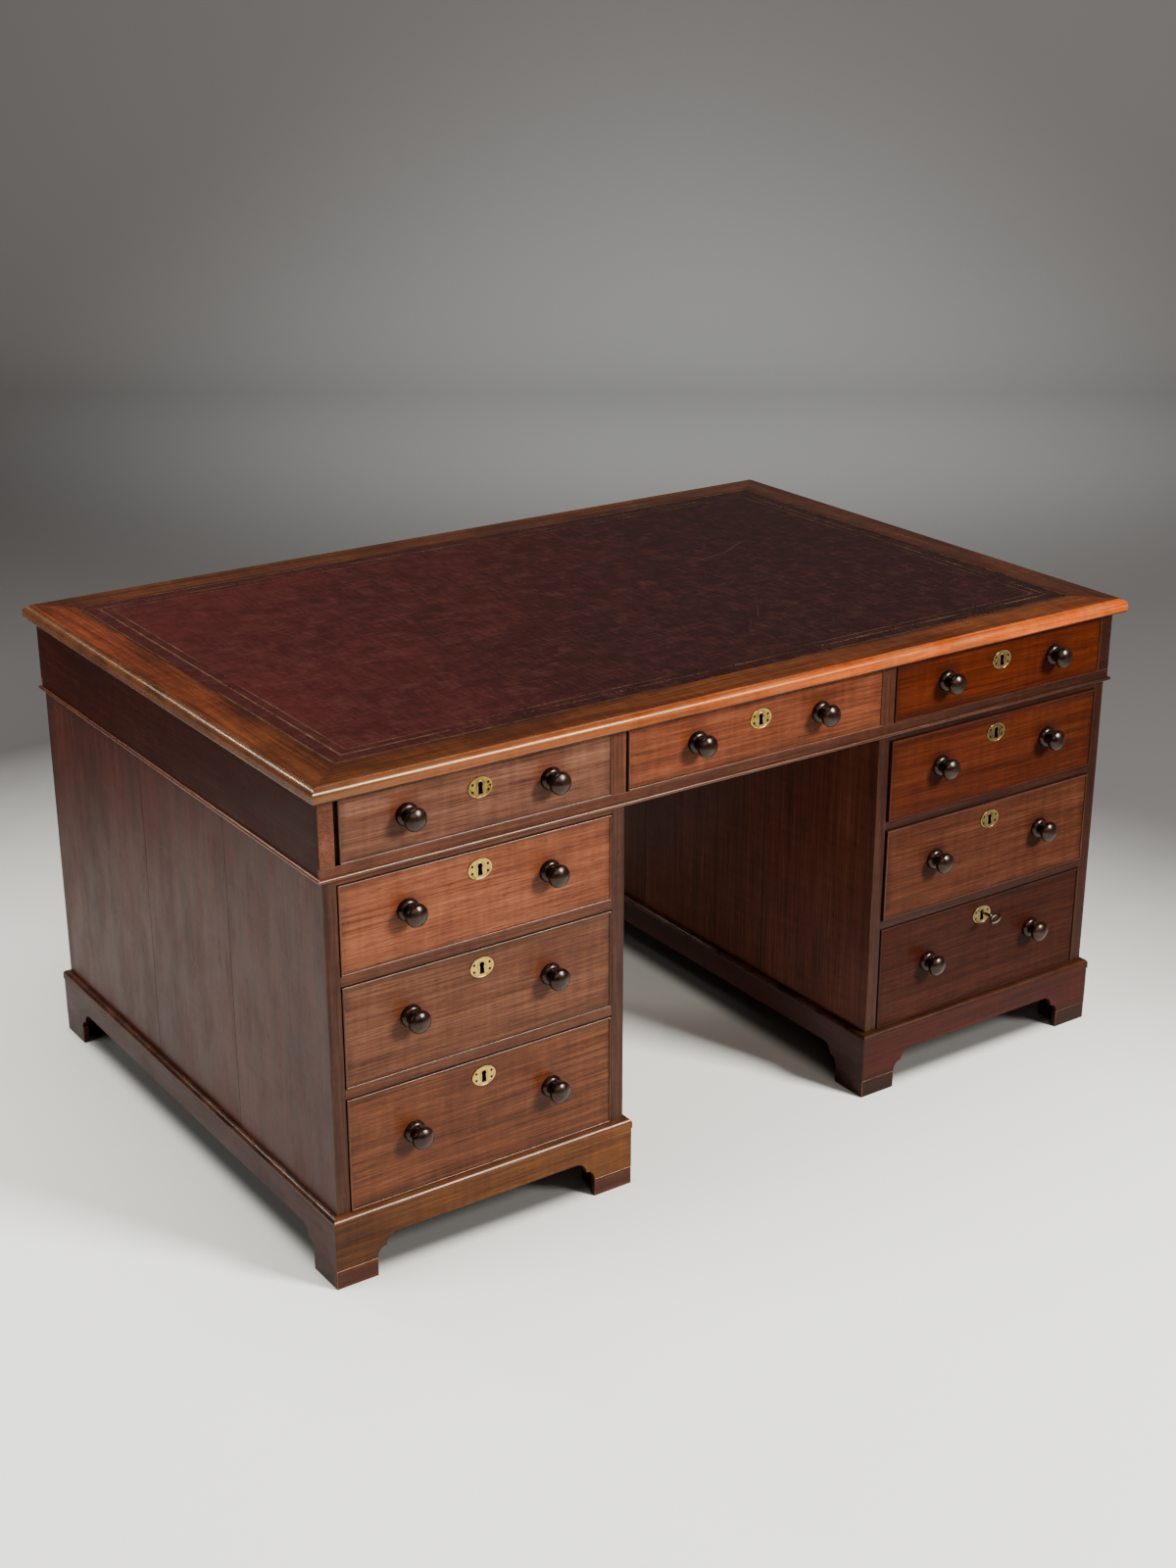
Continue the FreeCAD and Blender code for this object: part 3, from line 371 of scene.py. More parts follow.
finishes = {name: timberFinish(name, look) for name, look in timber.items()}
finishes["knob"] = knobFinish()
finishes["hide"] = leatherFinish(leather)
finishes["bandGilt"] = giltFinish("bandGilt", 1.0)
finishes["lineGilt"] = giltFinish("lineGilt", 0.75)
for name, (pale, tarnish) in brass.items():
    finishes[name] = brassFinish(name, pale, tarnish)
finishes["steel"] = steelFinish()
print("finishes made:", len(finishes))


# From packed triangles to eased boards
shop = {"mergeGap": 1e-6, "flatAngle": math.radians(0.4), "sharpAngle": math.radians(24.0),
        "smoothAngle": math.radians(50.0), "seamWidth": 0.0030, "seamDepth": 0.0008, "seamDirt": 0.90,
        "logLength": 40.0, "shades": (0.93, 1.07)}


def placed(name, data):
    made = bpy.data.objects.new(name, data)
    bpy.context.scene.collection.objects.link(made)
    return made


def meshOf(shape, name, *finishNames):
    mesh = bpy.data.meshes.new(name)
    shape.to_mesh(mesh)
    shape.free()
    for finish in finishNames:
        mesh.materials.append(finishes[finish])
    mesh.shade_smooth()
    mesh.set_sharp_from_angle(angle=shop["smoothAngle"])
    return mesh


def grownFrom(holder):
    # The mesh that the holder's modifier makes, after which the holder goes.
    mesh = bpy.data.meshes.new_from_object(holder.evaluated_get(bpy.context.evaluated_depsgraph_get()))
    holder.modifiers.clear()
    bpy.data.objects.remove(holder)
    return mesh


def cornersOf(faces):
    return sorted({corner for face in faces for corner in face})


def ownSpots(spots, faces):
    return spots[cornersOf(faces)]


def cadSolids(node):
    # The triangles come solid by solid, so a solid is whole when each of its edges has met its partner.
    mesh = nodes[node].data
    spots = np.empty(len(mesh.vertices) * 3)
    mesh.vertices.foreach_get("co", spots)
    spots = spots.reshape(-1, 3)
    corners = np.empty(len(mesh.loops), np.int32)
    mesh.loops.foreach_get("vertex_index", corners)
    grid = np.round(spots / shop["mergeGap"]).astype(np.int64)
    kept, joined = np.unique(grid, axis=0, return_index=True, return_inverse=True)[1:]
    solids, faces, waiting = [], [], set()
    for face in joined.ravel()[corners].reshape(-1, 3).tolist():
        if len(set(face)) < 3:
            continue
        faces.append(face)
        for edge in zip(face, face[1:] + face[:1]):
            if edge[::-1] in waiting:
                waiting.discard(edge[::-1])
            else:
                waiting.add(edge)
        if not waiting:
            solids.append(faces)
            faces = []
    return spots[kept], solids


def board(finish, ease=0.8, grain=None, tint=(1.0, 1.0, 1.0), seams=(), wear=None, grimeAndShade=None, others=None,
          otherTints=None):
    # Ease is the rounding of the arrises in mm, grain an axis number, seams are places on the Y axis.
    # Wear gives how worn a face is, grimeAndShade how dirty it is or how much painted shade it gets,
    # others says which faces have another finish.
    # A tint is one colour, or a blend of two along an axis.
    return {"finish": finish, "ease": ease, "grain": grain, "tint": tint, "seams": seams, "wear": wear,
            "grimeAndShade": grimeAndShade, "others": others or {}, "otherTints": otherTints or {}}


def blend(first, last, axis=0, start=-0.76, end=0.76):
    return {"first": first, "last": last, "axis": axis, "start": start, "end": end}


def tintAt(tint, spot):
    if not isinstance(tint, dict):
        return tint
    share = (spot[tint["axis"]] - tint["start"]) / (tint["end"] - tint["start"])
    share = min(max(share, 0.0), 1.0)
    return [a + (b - a) * share for a, b in zip(tint["first"], tint["last"])]


def solidBox(node, index):
    spots, solids = cadSolids(node)
    own = ownSpots(spots, solids[index])
    return Vector(own.min(0)), Vector(own.max(0))


def boardAxes(low, high, grain):
    order = sorted(range(3), key=lambda axis: low[axis] - high[axis])
    if grain is not None:
        order.remove(grain)
        order.insert(0, grain)
    return order


def cutSeams(shape, number, index, seams):
    half = shop["seamWidth"] / 2
    for seam in seams:
        for edge in (seam - half, seam, seam + half):
            faces = [face for face in shape.faces if face[number] == index]
            lines = {line for face in faces for line in face.edges}
            dots = {dot for face in faces for dot in face.verts}
            made = bmesh.ops.bisect_plane(shape, geom=faces + list(lines) + list(dots), plane_co=(0, edge, 0),
                                          plane_no=(0, 1, 0))
            if edge == seam:
                sinkLine([dot for dot in made["geom_cut"] if isinstance(dot, bmesh.types.BMVert)])


def sinkLine(dots):
    # Pushes the middle of a joint into both faces of the board, so that it is a shallow groove.
    low, high = min(dot.co.x for dot in dots), max(dot.co.x for dot in dots)
    for dot in dots:
        if dot.co.x - low < 1e-5:
            dot.co.x += shop["seamDepth"]
        elif high - dot.co.x < 1e-5:
            dot.co.x -= shop["seamDepth"]


def easeEdges(shape, number, wearLayer, index, ease):
    sharp = [edge for edge in shape.edges if len(edge.link_faces) == 2
             and edge.link_faces[0][number] == index and edge.calc_face_angle_signed(0) > shop["sharpAngle"]]
    if not sharp or not ease:
        return
    made = bmesh.ops.bevel(shape, geom=sharp, offset=ease / 1000, offset_type="OFFSET", segments=2,
                           profile=0.5, affect="EDGES", clamp_overlap=True)
    for face in made["faces"]:
        face[number] = index
        face[wearLayer] = 1.0


def stripOf(y, seams):
    # Which plank of a jointed board a face lies in, and whether it is the joint itself.
    joint = any(abs(y - seam) < shop["seamWidth"] * 0.6 for seam in seams)
    return sum(y > seam for seam in seams), joint


def dressedMesh(node, boards):
    spots, solids = cadSolids(node)
    shape = bmesh.new()
    number = shape.faces.layers.int.new("solid")
    wearLayer = shape.faces.layers.float.new("edgeWear")
    grimeAndShadeLayer = shape.faces.layers.float.new("grimeAndShade")
    names = sorted({name for made in boards for name in [made["finish"], *made["others"]]})
    for index, faces in enumerate(solids):
        used = {corner: shape.verts.new(spots[corner]) for corner in cornersOf(faces)}
        for face in faces:
            made = shape.faces.new([used[corner] for corner in face])
            made[number] = index
            made.material_index = names.index(boards[index]["finish"])
    bmesh.ops.dissolve_limit(shape, angle_limit=shop["flatAngle"], verts=shape.verts[:], edges=shape.edges[:],
                             use_dissolve_boundaries=False, delimit={"MATERIAL"})
    for index, made in enumerate(boards):
        cutSeams(shape, number, index, made["seams"])
        easeEdges(shape, number, wearLayer, index, made["ease"])
    carried = ("place", "reach", "boardSeed", "tint")
    layers = {name: shape.loops.layers.float_vector.new(name) for name in carried}
    frames = []
    for index, faces in enumerate(solids):
        own = ownSpots(spots, faces)
        low, high = own.min(0), own.max(0)
        frames.append((boardAxes(low, high, boards[index]["grain"]), (low + high) / 2, (high - low) / 2))
    for face in shape.faces:
        index = face[number]
        made = boards[index]
        order, centre, half = frames[index]
        middle = face.calc_center_median()
        strip, joint = stripOf(middle.y, made["seams"])
        chance = random.Random(f"{node} {index} {strip}")
        seed = [chance.uniform(-0.5, 0.5) * shop["logLength"] for axis in range(3)]
        shade = chance.uniform(*shop["shades"])
        tint = made["tint"]
        face[grimeAndShadeLayer] = shop["seamDirt"] if joint else 0.0
        if made["grimeAndShade"]:
            face[grimeAndShadeLayer] = max(face[grimeAndShadeLayer], made["grimeAndShade"](middle, face.normal))
        if made["wear"]:
            face[wearLayer] = max(face[wearLayer], made["wear"](middle, face.normal))
        for name, applies in made["others"].items():
            if applies(middle, face.normal):
                face.material_index = names.index(name)
                tint = made["otherTints"].get(name, tint)
        for corner in face.loops:
            off = [corner.vert.co[axis] - centre[axis] for axis in order]
            corner[layers["place"]] = off
            corner[layers["reach"]] = [half[axis] for axis in order]
            corner[layers["boardSeed"]] = seed
            corner[layers["tint"]] = [part * shade for part in tintAt(tint, corner.vert.co)]
    holder = placed("holder", meshOf(shape, node, *names))
    weighted = holder.modifiers.new("weighted", "WEIGHTED_NORMAL")
    weighted.keep_sharp = True
    return grownFrom(holder)


def addPiece(name, mesh, body, slot, *replaced):
    piece = placed(name, mesh)
    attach(piece, body)
    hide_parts(*replaced)


def dress(node, boards):
    addPiece(f"{node}_dressed", dressedMesh(node, boards), bodyOf[node], slotOf[node], node)


# Geometry node trees for what repeats

def newTree(name, sockets):
    tree = bpy.data.node_groups.new(name, "GeometryNodeTree")
    tree.interface.new_socket("Geometry", in_out="INPUT", socket_type="NodeSocketGeometry")
    tree.interface.new_socket("Geometry", in_out="OUTPUT", socket_type="NodeSocketGeometry")
    for label, kind, value in sockets:
        made = tree.interface.new_socket(label, in_out="INPUT", socket_type=f"NodeSocket{kind}")
        made.default_value = value
    return tree, tree.nodes.new("NodeGroupInput").outputs


def stepOf(kind, values, **settings):
    return feedNode(f"GeometryNode{kind}", values, **settings).outputs[0]


def endTree(tree, instances, finish):
    real = stepOf("RealizeInstances", {0: instances})
    painted = stepOf("SetMaterial", {"Geometry": real, "Material": finishes[finish]})
    tree.links.new(painted, tree.nodes.new("NodeGroupOutput").inputs[0])
    return tree


def grownMesh(name, tree, points, values):
    start = bpy.data.meshes.new(f"{name}_points")
    start.from_pydata([tuple(point) for point in points], [], [])
    holder = placed(f"{name}_holder", start)
    grow = holder.modifiers.new("grow", "NODES")
    grow.node_group = tree
    for socket in tree.interface.items_tree:
        if socket.in_out == "INPUT" and socket.name in values:
            grow[socket.identifier] = values[socket.name]
    return grownFrom(holder)


def aimAlong(way):
    return feedNode("FunctionNodeAlignRotationToVector", {"Vector": way}, axis="Z").outputs[0]


def chanceOf(seed, low, high):
    values = {"Seed": seed, 2: low, 3: high}
    return feedNode("FunctionNodeRandomValue", values, data_type="FLOAT").outputs[1]


def pinTree():
    # Round pin heads on loose points.
    tree, given = newTree("plate pins", [("Radius", "Float", 0.0013), ("Height", "Float", 0.0006),
                                         ("Direction", "Vector", (0.0, -1.0, 0.0))])
    head = addNode(tree, "GeometryNodeMeshUVSphere", {"Segments": 12, "Rings": 6, "Radius": 1.0}).outputs[0]
    size = joinXyz(given["Radius"], given["Radius"], given["Height"])
    head = stepOf("Transform", {"Geometry": head, "Scale": size})
    head = stepOf("SetShadeSmooth", {0: head})
    aim = aimAlong(given["Direction"])
    values = {"Points": given["Geometry"], "Instance": head, "Rotation": aim}
    return endTree(tree, stepOf("InstanceOnPoints", values), "pinBrass")


def screwTree():
    # Slotted countersunk heads on loose points, each slot at its own angle.
    tree, given = newTree("hinge screws", [("Radius", "Float", 0.0032), ("Depth", "Float", 0.0010),
                                           ("Direction", "Vector", (1.0, 0.0, 0.0)), ("Seed", "Int", 5)])
    disc = stepOf("MeshCylinder", {"Vertices": 20, "Radius": given["Radius"], "Depth": given["Depth"]})
    wide = times(given["Radius"], 2.4)
    narrow = times(given["Radius"], 0.26)
    slotSize = joinXyz(wide, narrow, given["Depth"])
    rise = joinXyz(z=times(given["Depth"], 0.55))
    cutter = stepOf("MeshCube", {"Size": slotSize})
    cutter = stepOf("Transform", {"Geometry": cutter, "Translation": rise})
    head = stepOf("MeshBoolean", {0: disc, 1: cutter}, operation="DIFFERENCE")
    aim = aimAlong(given["Direction"])
    chance = chanceOf(given["Seed"], 0.0, math.pi)
    spin = feedNode("FunctionNodeAxisAngleToRotation", {"Axis": (0.0, 0.0, 1.0), "Angle": chance})
    turned = {0: aim, 1: spin.outputs[0]}
    aim = feedNode("FunctionNodeRotateRotation", turned, rotation_space="LOCAL").outputs[0]
    values = {"Points": given["Geometry"], "Instance": head, "Rotation": aim}
    return endTree(tree, stepOf("InstanceOnPoints", values), "lockBrass")


giltKept = {"chance": 0.16, "corner": (-0.665, -0.41, 0.0), "cornerFade": (0.20, 0.09, 0.0, 0.30),
            "leftFade": (-0.60, -0.64, -0.07, 0.10)}


def giltTree(finish):
    # One row of stamps round a rectangle, rubbed away in patches, least at the front left corner.
    tree, given = newTree(f"{finish} roll", [
        ("Length", "Float", 1.3), ("Width", "Float", 0.8), ("Level", "Float", 0.78),
        ("Pitch", "Float", 0.003), ("Stamp Length", "Float", 0.003), ("Stamp Width", "Float", 0.002),
        ("Sides", "Int", 6), ("Rubbed", "Float", 0.5), ("Seed", "Int", 1)])
    path = stepOf("CurvePrimitiveQuadrilateral", {"Width": given["Length"], "Height": given["Width"]})
    walk = feedNode("GeometryNodeCurveToPoints", {"Curve": path, "Length": given["Pitch"]}, mode="LENGTH")
    stamp = stepOf("MeshCircle", {"Vertices": given["Sides"], "Radius": 0.5}, fill_type="NGON")
    size = joinXyz(given["Stamp Length"], given["Stamp Width"], 1.0)
    stamp = stepOf("Transform", {"Geometry": stamp, "Scale": size})
    aim = feedNode("FunctionNodeAlignRotationToVector", {"Vector": walk.outputs["Tangent"]}, axis="X",
                   pivot_axis="Z").outputs[0]
    spot = addNode(tree, "GeometryNodeInputPosition").outputs[0]
    patch = addNode(tree, "ShaderNodeTexNoise", {"Vector": spot, "Scale": 9.0, "Detail": 3.0}).outputs["Fac"]
    chance = chanceOf(given["Seed"], -giltKept["chance"], giltKept["chance"])
    spared = fadeIn(gapOf(spot, giltKept["corner"]), *giltKept["cornerFade"])
    spared = plus(spared, fadeIn(parts(spot)[0], *giltKept["leftFade"]))
    left = plus(plus(patch, chance), spared)
    kept = mathOf("GREATER_THAN", left, given["Rubbed"])
    values = {"Points": walk.outputs["Points"], "Selection": kept, "Instance": stamp, "Rotation": aim}
    row = stepOf("InstanceOnPoints", values)
    lift = joinXyz(z=given["Level"])
    row = stepOf("Transform", {"Geometry": row, "Translation": lift})
    return endTree(tree, row, finish)


trees = {"pin": pinTree(), "screw": screwTree(), "band": giltTree("bandGilt"), "line": giltTree("lineGilt")}


# Writing top: border, panel and hide
topEdge = {"noseWidth": 0.0105, "noseWear": 0.62}


def onNose(middle, normal):
    low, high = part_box("top_border")
    inward = min(middle.x - low.x, high.x - middle.x, middle.y - low.y, high.y - middle.y)
    return inward < topEdge["noseWidth"] and normal.z > -0.2


def noseWear(middle, normal):
    return topEdge["noseWear"] if onNose(middle, normal) else 0.0


def hideMesh():
    low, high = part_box("writing_leather")
    columns, rows = leather["grid"]
    inset, roll, swell = leather["inset"], leather["roll"], leather["swell"]
    shape = bmesh.new()
    grid = []
    for row in range(rows + 1):
        line = []
        for column in range(columns + 1):
            x = low.x + inset + (high.x - low.x - 2 * inset) * column / columns
            y = low.y + inset + (high.y - low.y - 2 * inset) * row / rows
            wave = math.sin(7.1 * x + 3.0 * y) + math.sin(12.7 * y - 4.4 * x) + math.sin(19.0 * x + 8.0 * y)
            border = column in (0, columns) or row in (0, rows)
            z = high.z - roll if border else high.z - 3 * swell + swell * wave
            line.append(shape.verts.new((x, y, z)))
        grid.append(line)
    for row in range(rows):
        for column in range(columns):
            shape.faces.new((grid[row][column], grid[row][column + 1], grid[row + 1][column + 1],
                             grid[row + 1][column]))
    rim = [edge for edge in shape.edges if len(edge.link_faces) == 1]
    skirt = bmesh.ops.extrude_edge_only(shape, edges=rim)["geom"]
    fresh = [item for item in skirt if isinstance(item, bmesh.types.BMVert)]
    for corner in fresh:
        corner.co.z = low.z
    bmesh.ops.contextual_create(shape, geom=[item for item in skirt if isinstance(item, bmesh.types.BMEdge)
                                             and all(end in fresh for end in item.verts)])
    bmesh.ops.recalc_face_normals(shape, faces=shape.faces[:])
    return meshOf(shape, "hide", "hide")


# Name, distance from the edge, pitch, stamp length and width, sides of a stamp, how much is rubbed away.
giltRows = [("bandOuter", 0.0240, 0.0030, 0.0032, 0.0012, 4, 0.46),
            ("bandMiddle", 0.0252, 0.0030, 0.0024, 0.0012, 6, 0.43),
            ("bandInner", 0.0264, 0.0030, 0.0032, 0.0012, 4, 0.47),
            ("lineInner", 0.0410, 0.0020, 0.0064, 0.0008, 4, 0.30),
            ("lineEdge", 0.0022, 0.0020, 0.0064, 0.0009, 4, 0.28)]
giltLift, giltSeed = 0.00012, 11


def addGilt(row, seed):
    name, inset, pitch, length, width, sides, rubbed = row
    low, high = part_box("writing_leather")
    values = {"Length": high.x - low.x - 2 * inset, "Width": high.y - low.y - 2 * inset,
              "Level": high.z + giltLift, "Pitch": pitch, "Stamp Length": length, "Stamp Width": width,
              "Sides": sides, "Rubbed": rubbed, "Seed": seed}
    addPiece(f"gilt_{name}", grownMesh(name, trees[name[:4]], [(0, 0, 0)], values), "carcase", "leather")


# Front, right, back and left board, first the flat and then the nosing.
borderTints = [blend((0.47, 0.45, 0.38), (0.66, 0.54, 0.34)), (0.38, 0.34, 0.38), (0.48, 0.45, 0.48),
               blend((0.46, 0.45, 0.42), (1.05, 0.76, 0.82), 1, -0.50, 0.50)]
# The front nose is tinted far brighter and more orange towards its right end: partly the wood's tone, partly a
# painted highlight.
noseTints = [blend((0.50, 0.53, 0.60), (3.80, 1.85, 0.06)), (0.60, 0.50, 0.40), (0.50, 0.50, 0.50),
             (0.60, 0.60, 0.65)]
dress("top_border", [board("borderMahogany", 0.4, tint=flat, wear=noseWear, others={"noseMahogany": onNose},
                           otherTints={"noseMahogany": nose}) for flat, nose in zip(borderTints, noseTints)])
dress("top_panel", [board("liningPine")])
addPiece("writingHide", hideMesh(), "carcase", "leather", "writing_leather")
for order, row in enumerate(giltRows):
    addGilt(row, giltSeed + order)
print("writing top dressed")


# Frieze and pedestals
# The case is tinted darker towards the right pedestal: partly the wood's own tone, partly painted shade.
caseTint = {"left": (0.70, 0.72, 0.76), "right": (0.45, 0.36, 0.33), "leftRail": (1.75, 1.75, 1.75),
            "rightRail": (0.36, 0.28, 0.25), "leftBead": (1.50, 1.45, 1.40), "rightBead": (0.30, 0.26, 0.25),
            "leftBlade": (1.20, 1.18, 1.16), "rightBlade": (0.42, 0.33, 0.31)}
sideTint = {"left": (1.00, 1.00, 1.00), "right": (0.74, 0.78, 0.82)}
railTint = blend(caseTint["leftRail"], caseTint["rightRail"])
beadTint = blend(caseTint["leftBead"], caseTint["rightBead"])


def facing(axis):
    return lambda middle, normal: abs(normal[axis]) > 0.7


facesSide, facesFront, facesUp = (facing(axis) for axis in range(3))


def facesInto(centre):
    # Faces that look at the drawers between two upright boards.
    return lambda middle, normal: (centre - middle.x) * normal.x > 0.7 * abs(centre - middle.x)


sideSeams = {"left": (-0.180, 0.112), "right": (-0.205, 0.140)}


def partBoards(count, shown, finish, hidden="liningPine", **settings):
    # Boards of one node: the shown ones get the finish, the rest are plain inside timber.
    return [board(finish, **settings) if index in shown else board(hidden) for index in range(count)]


# Painted shade: the frieze ends take the darker frieze copy, as if shaded by the overhang of the top.
dress("frieze_ends", [board("friezeMahogany", grain=1, otherTints={"caseMahogany": railTint},
                            others={"caseMahogany": facesFront, "innerMahogany": facesInto(0.0)})] * 2)
dress("frieze_rails", partBoards(14, (0, 1), "caseMahogany", tint=railTint,
                                 others={"innerMahogany": facesUp}))
dress("frieze_dividers", partBoards(5, (0, 1), "innerMahogany", grain=2, tint=railTint,
                                    others={"caseMahogany": facesFront}))
dress("frieze_runners", [board("liningPine")] * 12)
dress("frieze_bead", [board("beadMahogany", 0.0, tint=beadTint)] * 4)
# Painted shade: the foot blocks, like the faces inside the case, take the near-black inner mahogany.
dress("foot_blocks", [board("innerMahogany")] * 8)

# The right plinth is tinted darker like the rest of the right pedestal: partly the wood's tone, partly painted
# shade.
plinth = {"mouldingBase": 0.098, "mouldingWear": 0.30, "side": ("plinthMahogany", (0.70, 0.62, 0.70)),
          "left": ("caseMahogany", blend((0.88, 0.80, 0.26), (1.70, 1.75, 0.66), 0, -0.45, -0.33)),
          "right": ("plinthMahogany", (0.61, 0.40, 0.24)), "leftPad": ("caseMahogany", (0.85, 0.68, 0.62)),
          "rightPad": ("plinthMahogany", (0.42, 0.46, 0.42)),
          "moulding": {"left": ("beadMahogany", (1.00, 0.95, 0.70)),
                       "side": ("beadMahogany", (0.42, 0.38, 0.46)),
                       "right": ("darkBeadMahogany", (0.90, 0.90, 0.90))}}


def onMoulding(middle, normal):
    return middle.z > plinth["mouldingBase"] and normal.z > 0.15


def plinthWear(middle, normal):
    return plinth["mouldingWear"] if onMoulding(middle, normal) else 0.0


def plinthBoards(side):
    made = []
    spots, solids = cadSolids(f"{side}_plinth")
    for faces in solids:
        own = ownSpots(spots, faces)
        size = own.max(0) - own.min(0)
        way = "side" if size[1] > size[0] else side
        if size.max() < 0.2:
            finish, tint = plinth[f"{side}Pad"]
            others, otherTints = {"plinthMahogany": facesSide}, {"plinthMahogany": plinth["side"][1]}
        else:
            finish, tint = plinth[way]
            polish, polishTint = plinth["moulding"][way]
            others, otherTints = {polish: onMoulding}, {polish: polishTint}
        made.append(board(finish, 1.0, tint=tint, wear=plinthWear, others=others, otherTints=otherTints))
    return made


def sideBoards(side):
    # The outer side is polished, the kneehole side takes a copy of the mahogany with less sheen and its own
    # colour, set for the shade in the kneehole (painted shade), and their front edges are like the rails.
    node = f"{side}_pedestal_sides"
    low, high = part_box(node)
    centre = (low.x + high.x) / 2
    made = []
    for index in range(2):
        boardLow, boardHigh = solidBox(node, index)
        knee = abs(boardLow.x + boardHigh.x) < abs(2 * centre)
        others = {"caseMahogany": facesFront, "innerMahogany": facesInto(centre)}
        made.append(board("kneeMahogany" if knee else "endMahogany", 0.8, grain=2, tint=sideTint[side],
                          seams=sideSeams[side], others=others, otherTints={"caseMahogany": caseTint[side]}))
    return made


for side in ("left", "right"):
    tint = caseTint[f"{side}Blade"]
    dress(f"{side}_pedestal_sides", sideBoards(side))
    dress(f"{side}_pedestal_boards", partBoards(6, (0,), "caseMahogany", grain=0, tint=tint,
                                                others={"innerMahogany": facesUp}))
    dress(f"{side}_drawer_blades", partBoards(12, (4, 9), "caseMahogany", tint=tint,
                                              others={"innerMahogany": facesUp}))
    dress(f"{side}_plinth", plinthBoards(side))
print("frieze and pedestals dressed")


# Drawers
frontTints = {"frieze_left": (1.00, 1.14, 1.46), "frieze_centre": (1.16, 0.90, 0.78),
              "frieze_right": (1.92, 1.29, 0.63), "left_top": (1.38, 1.20, 1.16),
              "left_middle": (0.82, 0.85, 0.90), "left_bottom": (0.84, 0.76, 0.65),
              "right_top": (1.76, 1.42, 1.22), "right_middle": (2.36, 3.10, 4.60),
              "right_bottom": (1.05, 1.08, 1.60), "rear_left": (0.80, 0.80, 0.80),
              "rear_centre": (0.85, 0.85, 0.85), "rear_right": (0.75, 0.75, 0.75)}
# The right pedestal's fronts, beads and plates take darker copies of their finishes with less sheen: partly the
# wood's own tone, partly painted shade.
darkFronts = ("frieze_right", "right_top", "right_middle", "right_bottom")
plate = {"halfWidth": 0.0200, "halfHeight": 0.0158, "holeRise": 0.0045, "holeRadius": 0.0040,
         "slotDrop": 0.0100, "slotTop": 0.0031, "slotFoot": 0.0040, "hub": 0.0012, "around": 72,
         "profile": [(0.0, 0.10, 0.0), (0.0, 1.10, 0.1), (0.04, 1.45, 0.8), (0.13, 1.50, 0.9),
                     (0.19, 1.10, 0.15), (0.30, 1.05, 0.60), (0.72, 1.05, 0.60), (0.81, 1.15, 0.35),
                     (0.87, 1.70, 1.0), (0.94, 1.75, 1.0), (0.985, 1.30, 0.7), (1.0, 0.60, 0.0),
                     (1.0, 0.0, 0.0)],
         "pins": [(-0.0130, -0.0055), (-0.0130, 0.0055), (0.0130, -0.0055), (0.0130, 0.0055)],
         "morePins": {"frieze_left": [(0.0163, 0.0002)]},
         "shade": {"frieze_left": 0.40, "frieze_centre": 0.80, "right_top": 0.55, "right_middle": 0.85},
         "pinRadius": 0.0024, "pinHeight": 0.0004, "field": 0.00095}


def keyholePoint(turn):
    # Edge of the keyhole in the given direction from the hub: a round eye above a flared slot.
    dx, dz = math.sin(turn), math.cos(turn)
    best = 0.0
    rise = plate["holeRise"] - plate["hub"]
    along = dz * rise
    inside = along * along - rise * rise + plate["holeRadius"] ** 2
    if inside > 0:
        best = along + math.sqrt(inside)
    if dz < 0.35:
        span = plate["hub"] + plate["slotDrop"]
        flare = (plate["slotFoot"] - plate["slotTop"]) / span
        toSide = plate["slotTop"] / max(1e-6, abs(dx) + flare * dz)
        toFoot = span / max(1e-6, -dz) if dz < 0 else toSide
        best = max(best, min(toSide, toFoot))
    return dx * best, plate["hub"] + dz * best


def ovalPoint(turn):
    dx, dz = math.sin(turn), math.cos(turn)
    a, b = plate["halfWidth"], plate["halfHeight"]
    square = (dx / a) ** 2 + (dz / b) ** 2
    slope = 2 * dz * plate["hub"] / b ** 2
    rest = (plate["hub"] / b) ** 2 - 1
    reach = (-slope + math.sqrt(slope * slope - 4 * square * rest)) / (2 * square)
    return dx * reach, plate["hub"] + dz * reach


def plateMesh(name, centre, out, finish, shade):
    # Rings from the keyhole to the rim, each at its own height over the wood. Out is -1 or 1 on the Y axis.
    shape = bmesh.new()
    lift = shape.verts.layers.float.new("lift")
    place = shape.verts.layers.float_vector.new("place")
    seed = shape.verts.layers.float_vector.new("boardSeed")
    chance = random.Random(name)
    cut = [chance.uniform(-5.0, 5.0) for axis in range(3)]
    rings = []
    for share, height, bright in plate["profile"]:
        ring = []
        for step in range(plate["around"]):
            turn = 2 * math.pi * step / plate["around"]
            inner, outer = keyholePoint(turn), ovalPoint(turn)
            x = inner[0] + (outer[0] - inner[0]) * share
            z = inner[1] + (outer[1] - inner[1]) * share
            spot = shape.verts.new((centre.x + x, centre.y + out * height / 1000, centre.z + z))
            spot[lift] = bright * shade
            spot[place] = (x, 0.0, z)
            spot[seed] = cut
            ring.append(spot)
        rings.append(ring)
    rings.append(rings[0])
    for inner, outer in zip(rings, rings[1:]):
        for step in range(plate["around"]):
            after = (step + 1) % plate["around"]
            shape.faces.new((inner[step], inner[after], outer[after], outer[step]))
    bmesh.ops.recalc_face_normals(shape, faces=shape.faces[:])
    return meshOf(shape, name, finish)


def keepSolids(mesh, dropped):
    # Takes away the first solids of a dressed mesh, which finer pieces stand for.
    shape = bmesh.new()
    shape.from_mesh(mesh)
    number = shape.faces.layers.int["solid"]
    gone = [face for face in shape.faces if face[number] < dropped]
    bmesh.ops.delete(shape, geom=gone, context="FACES")
    shape.to_mesh(mesh)
    shape.free()
    return mesh


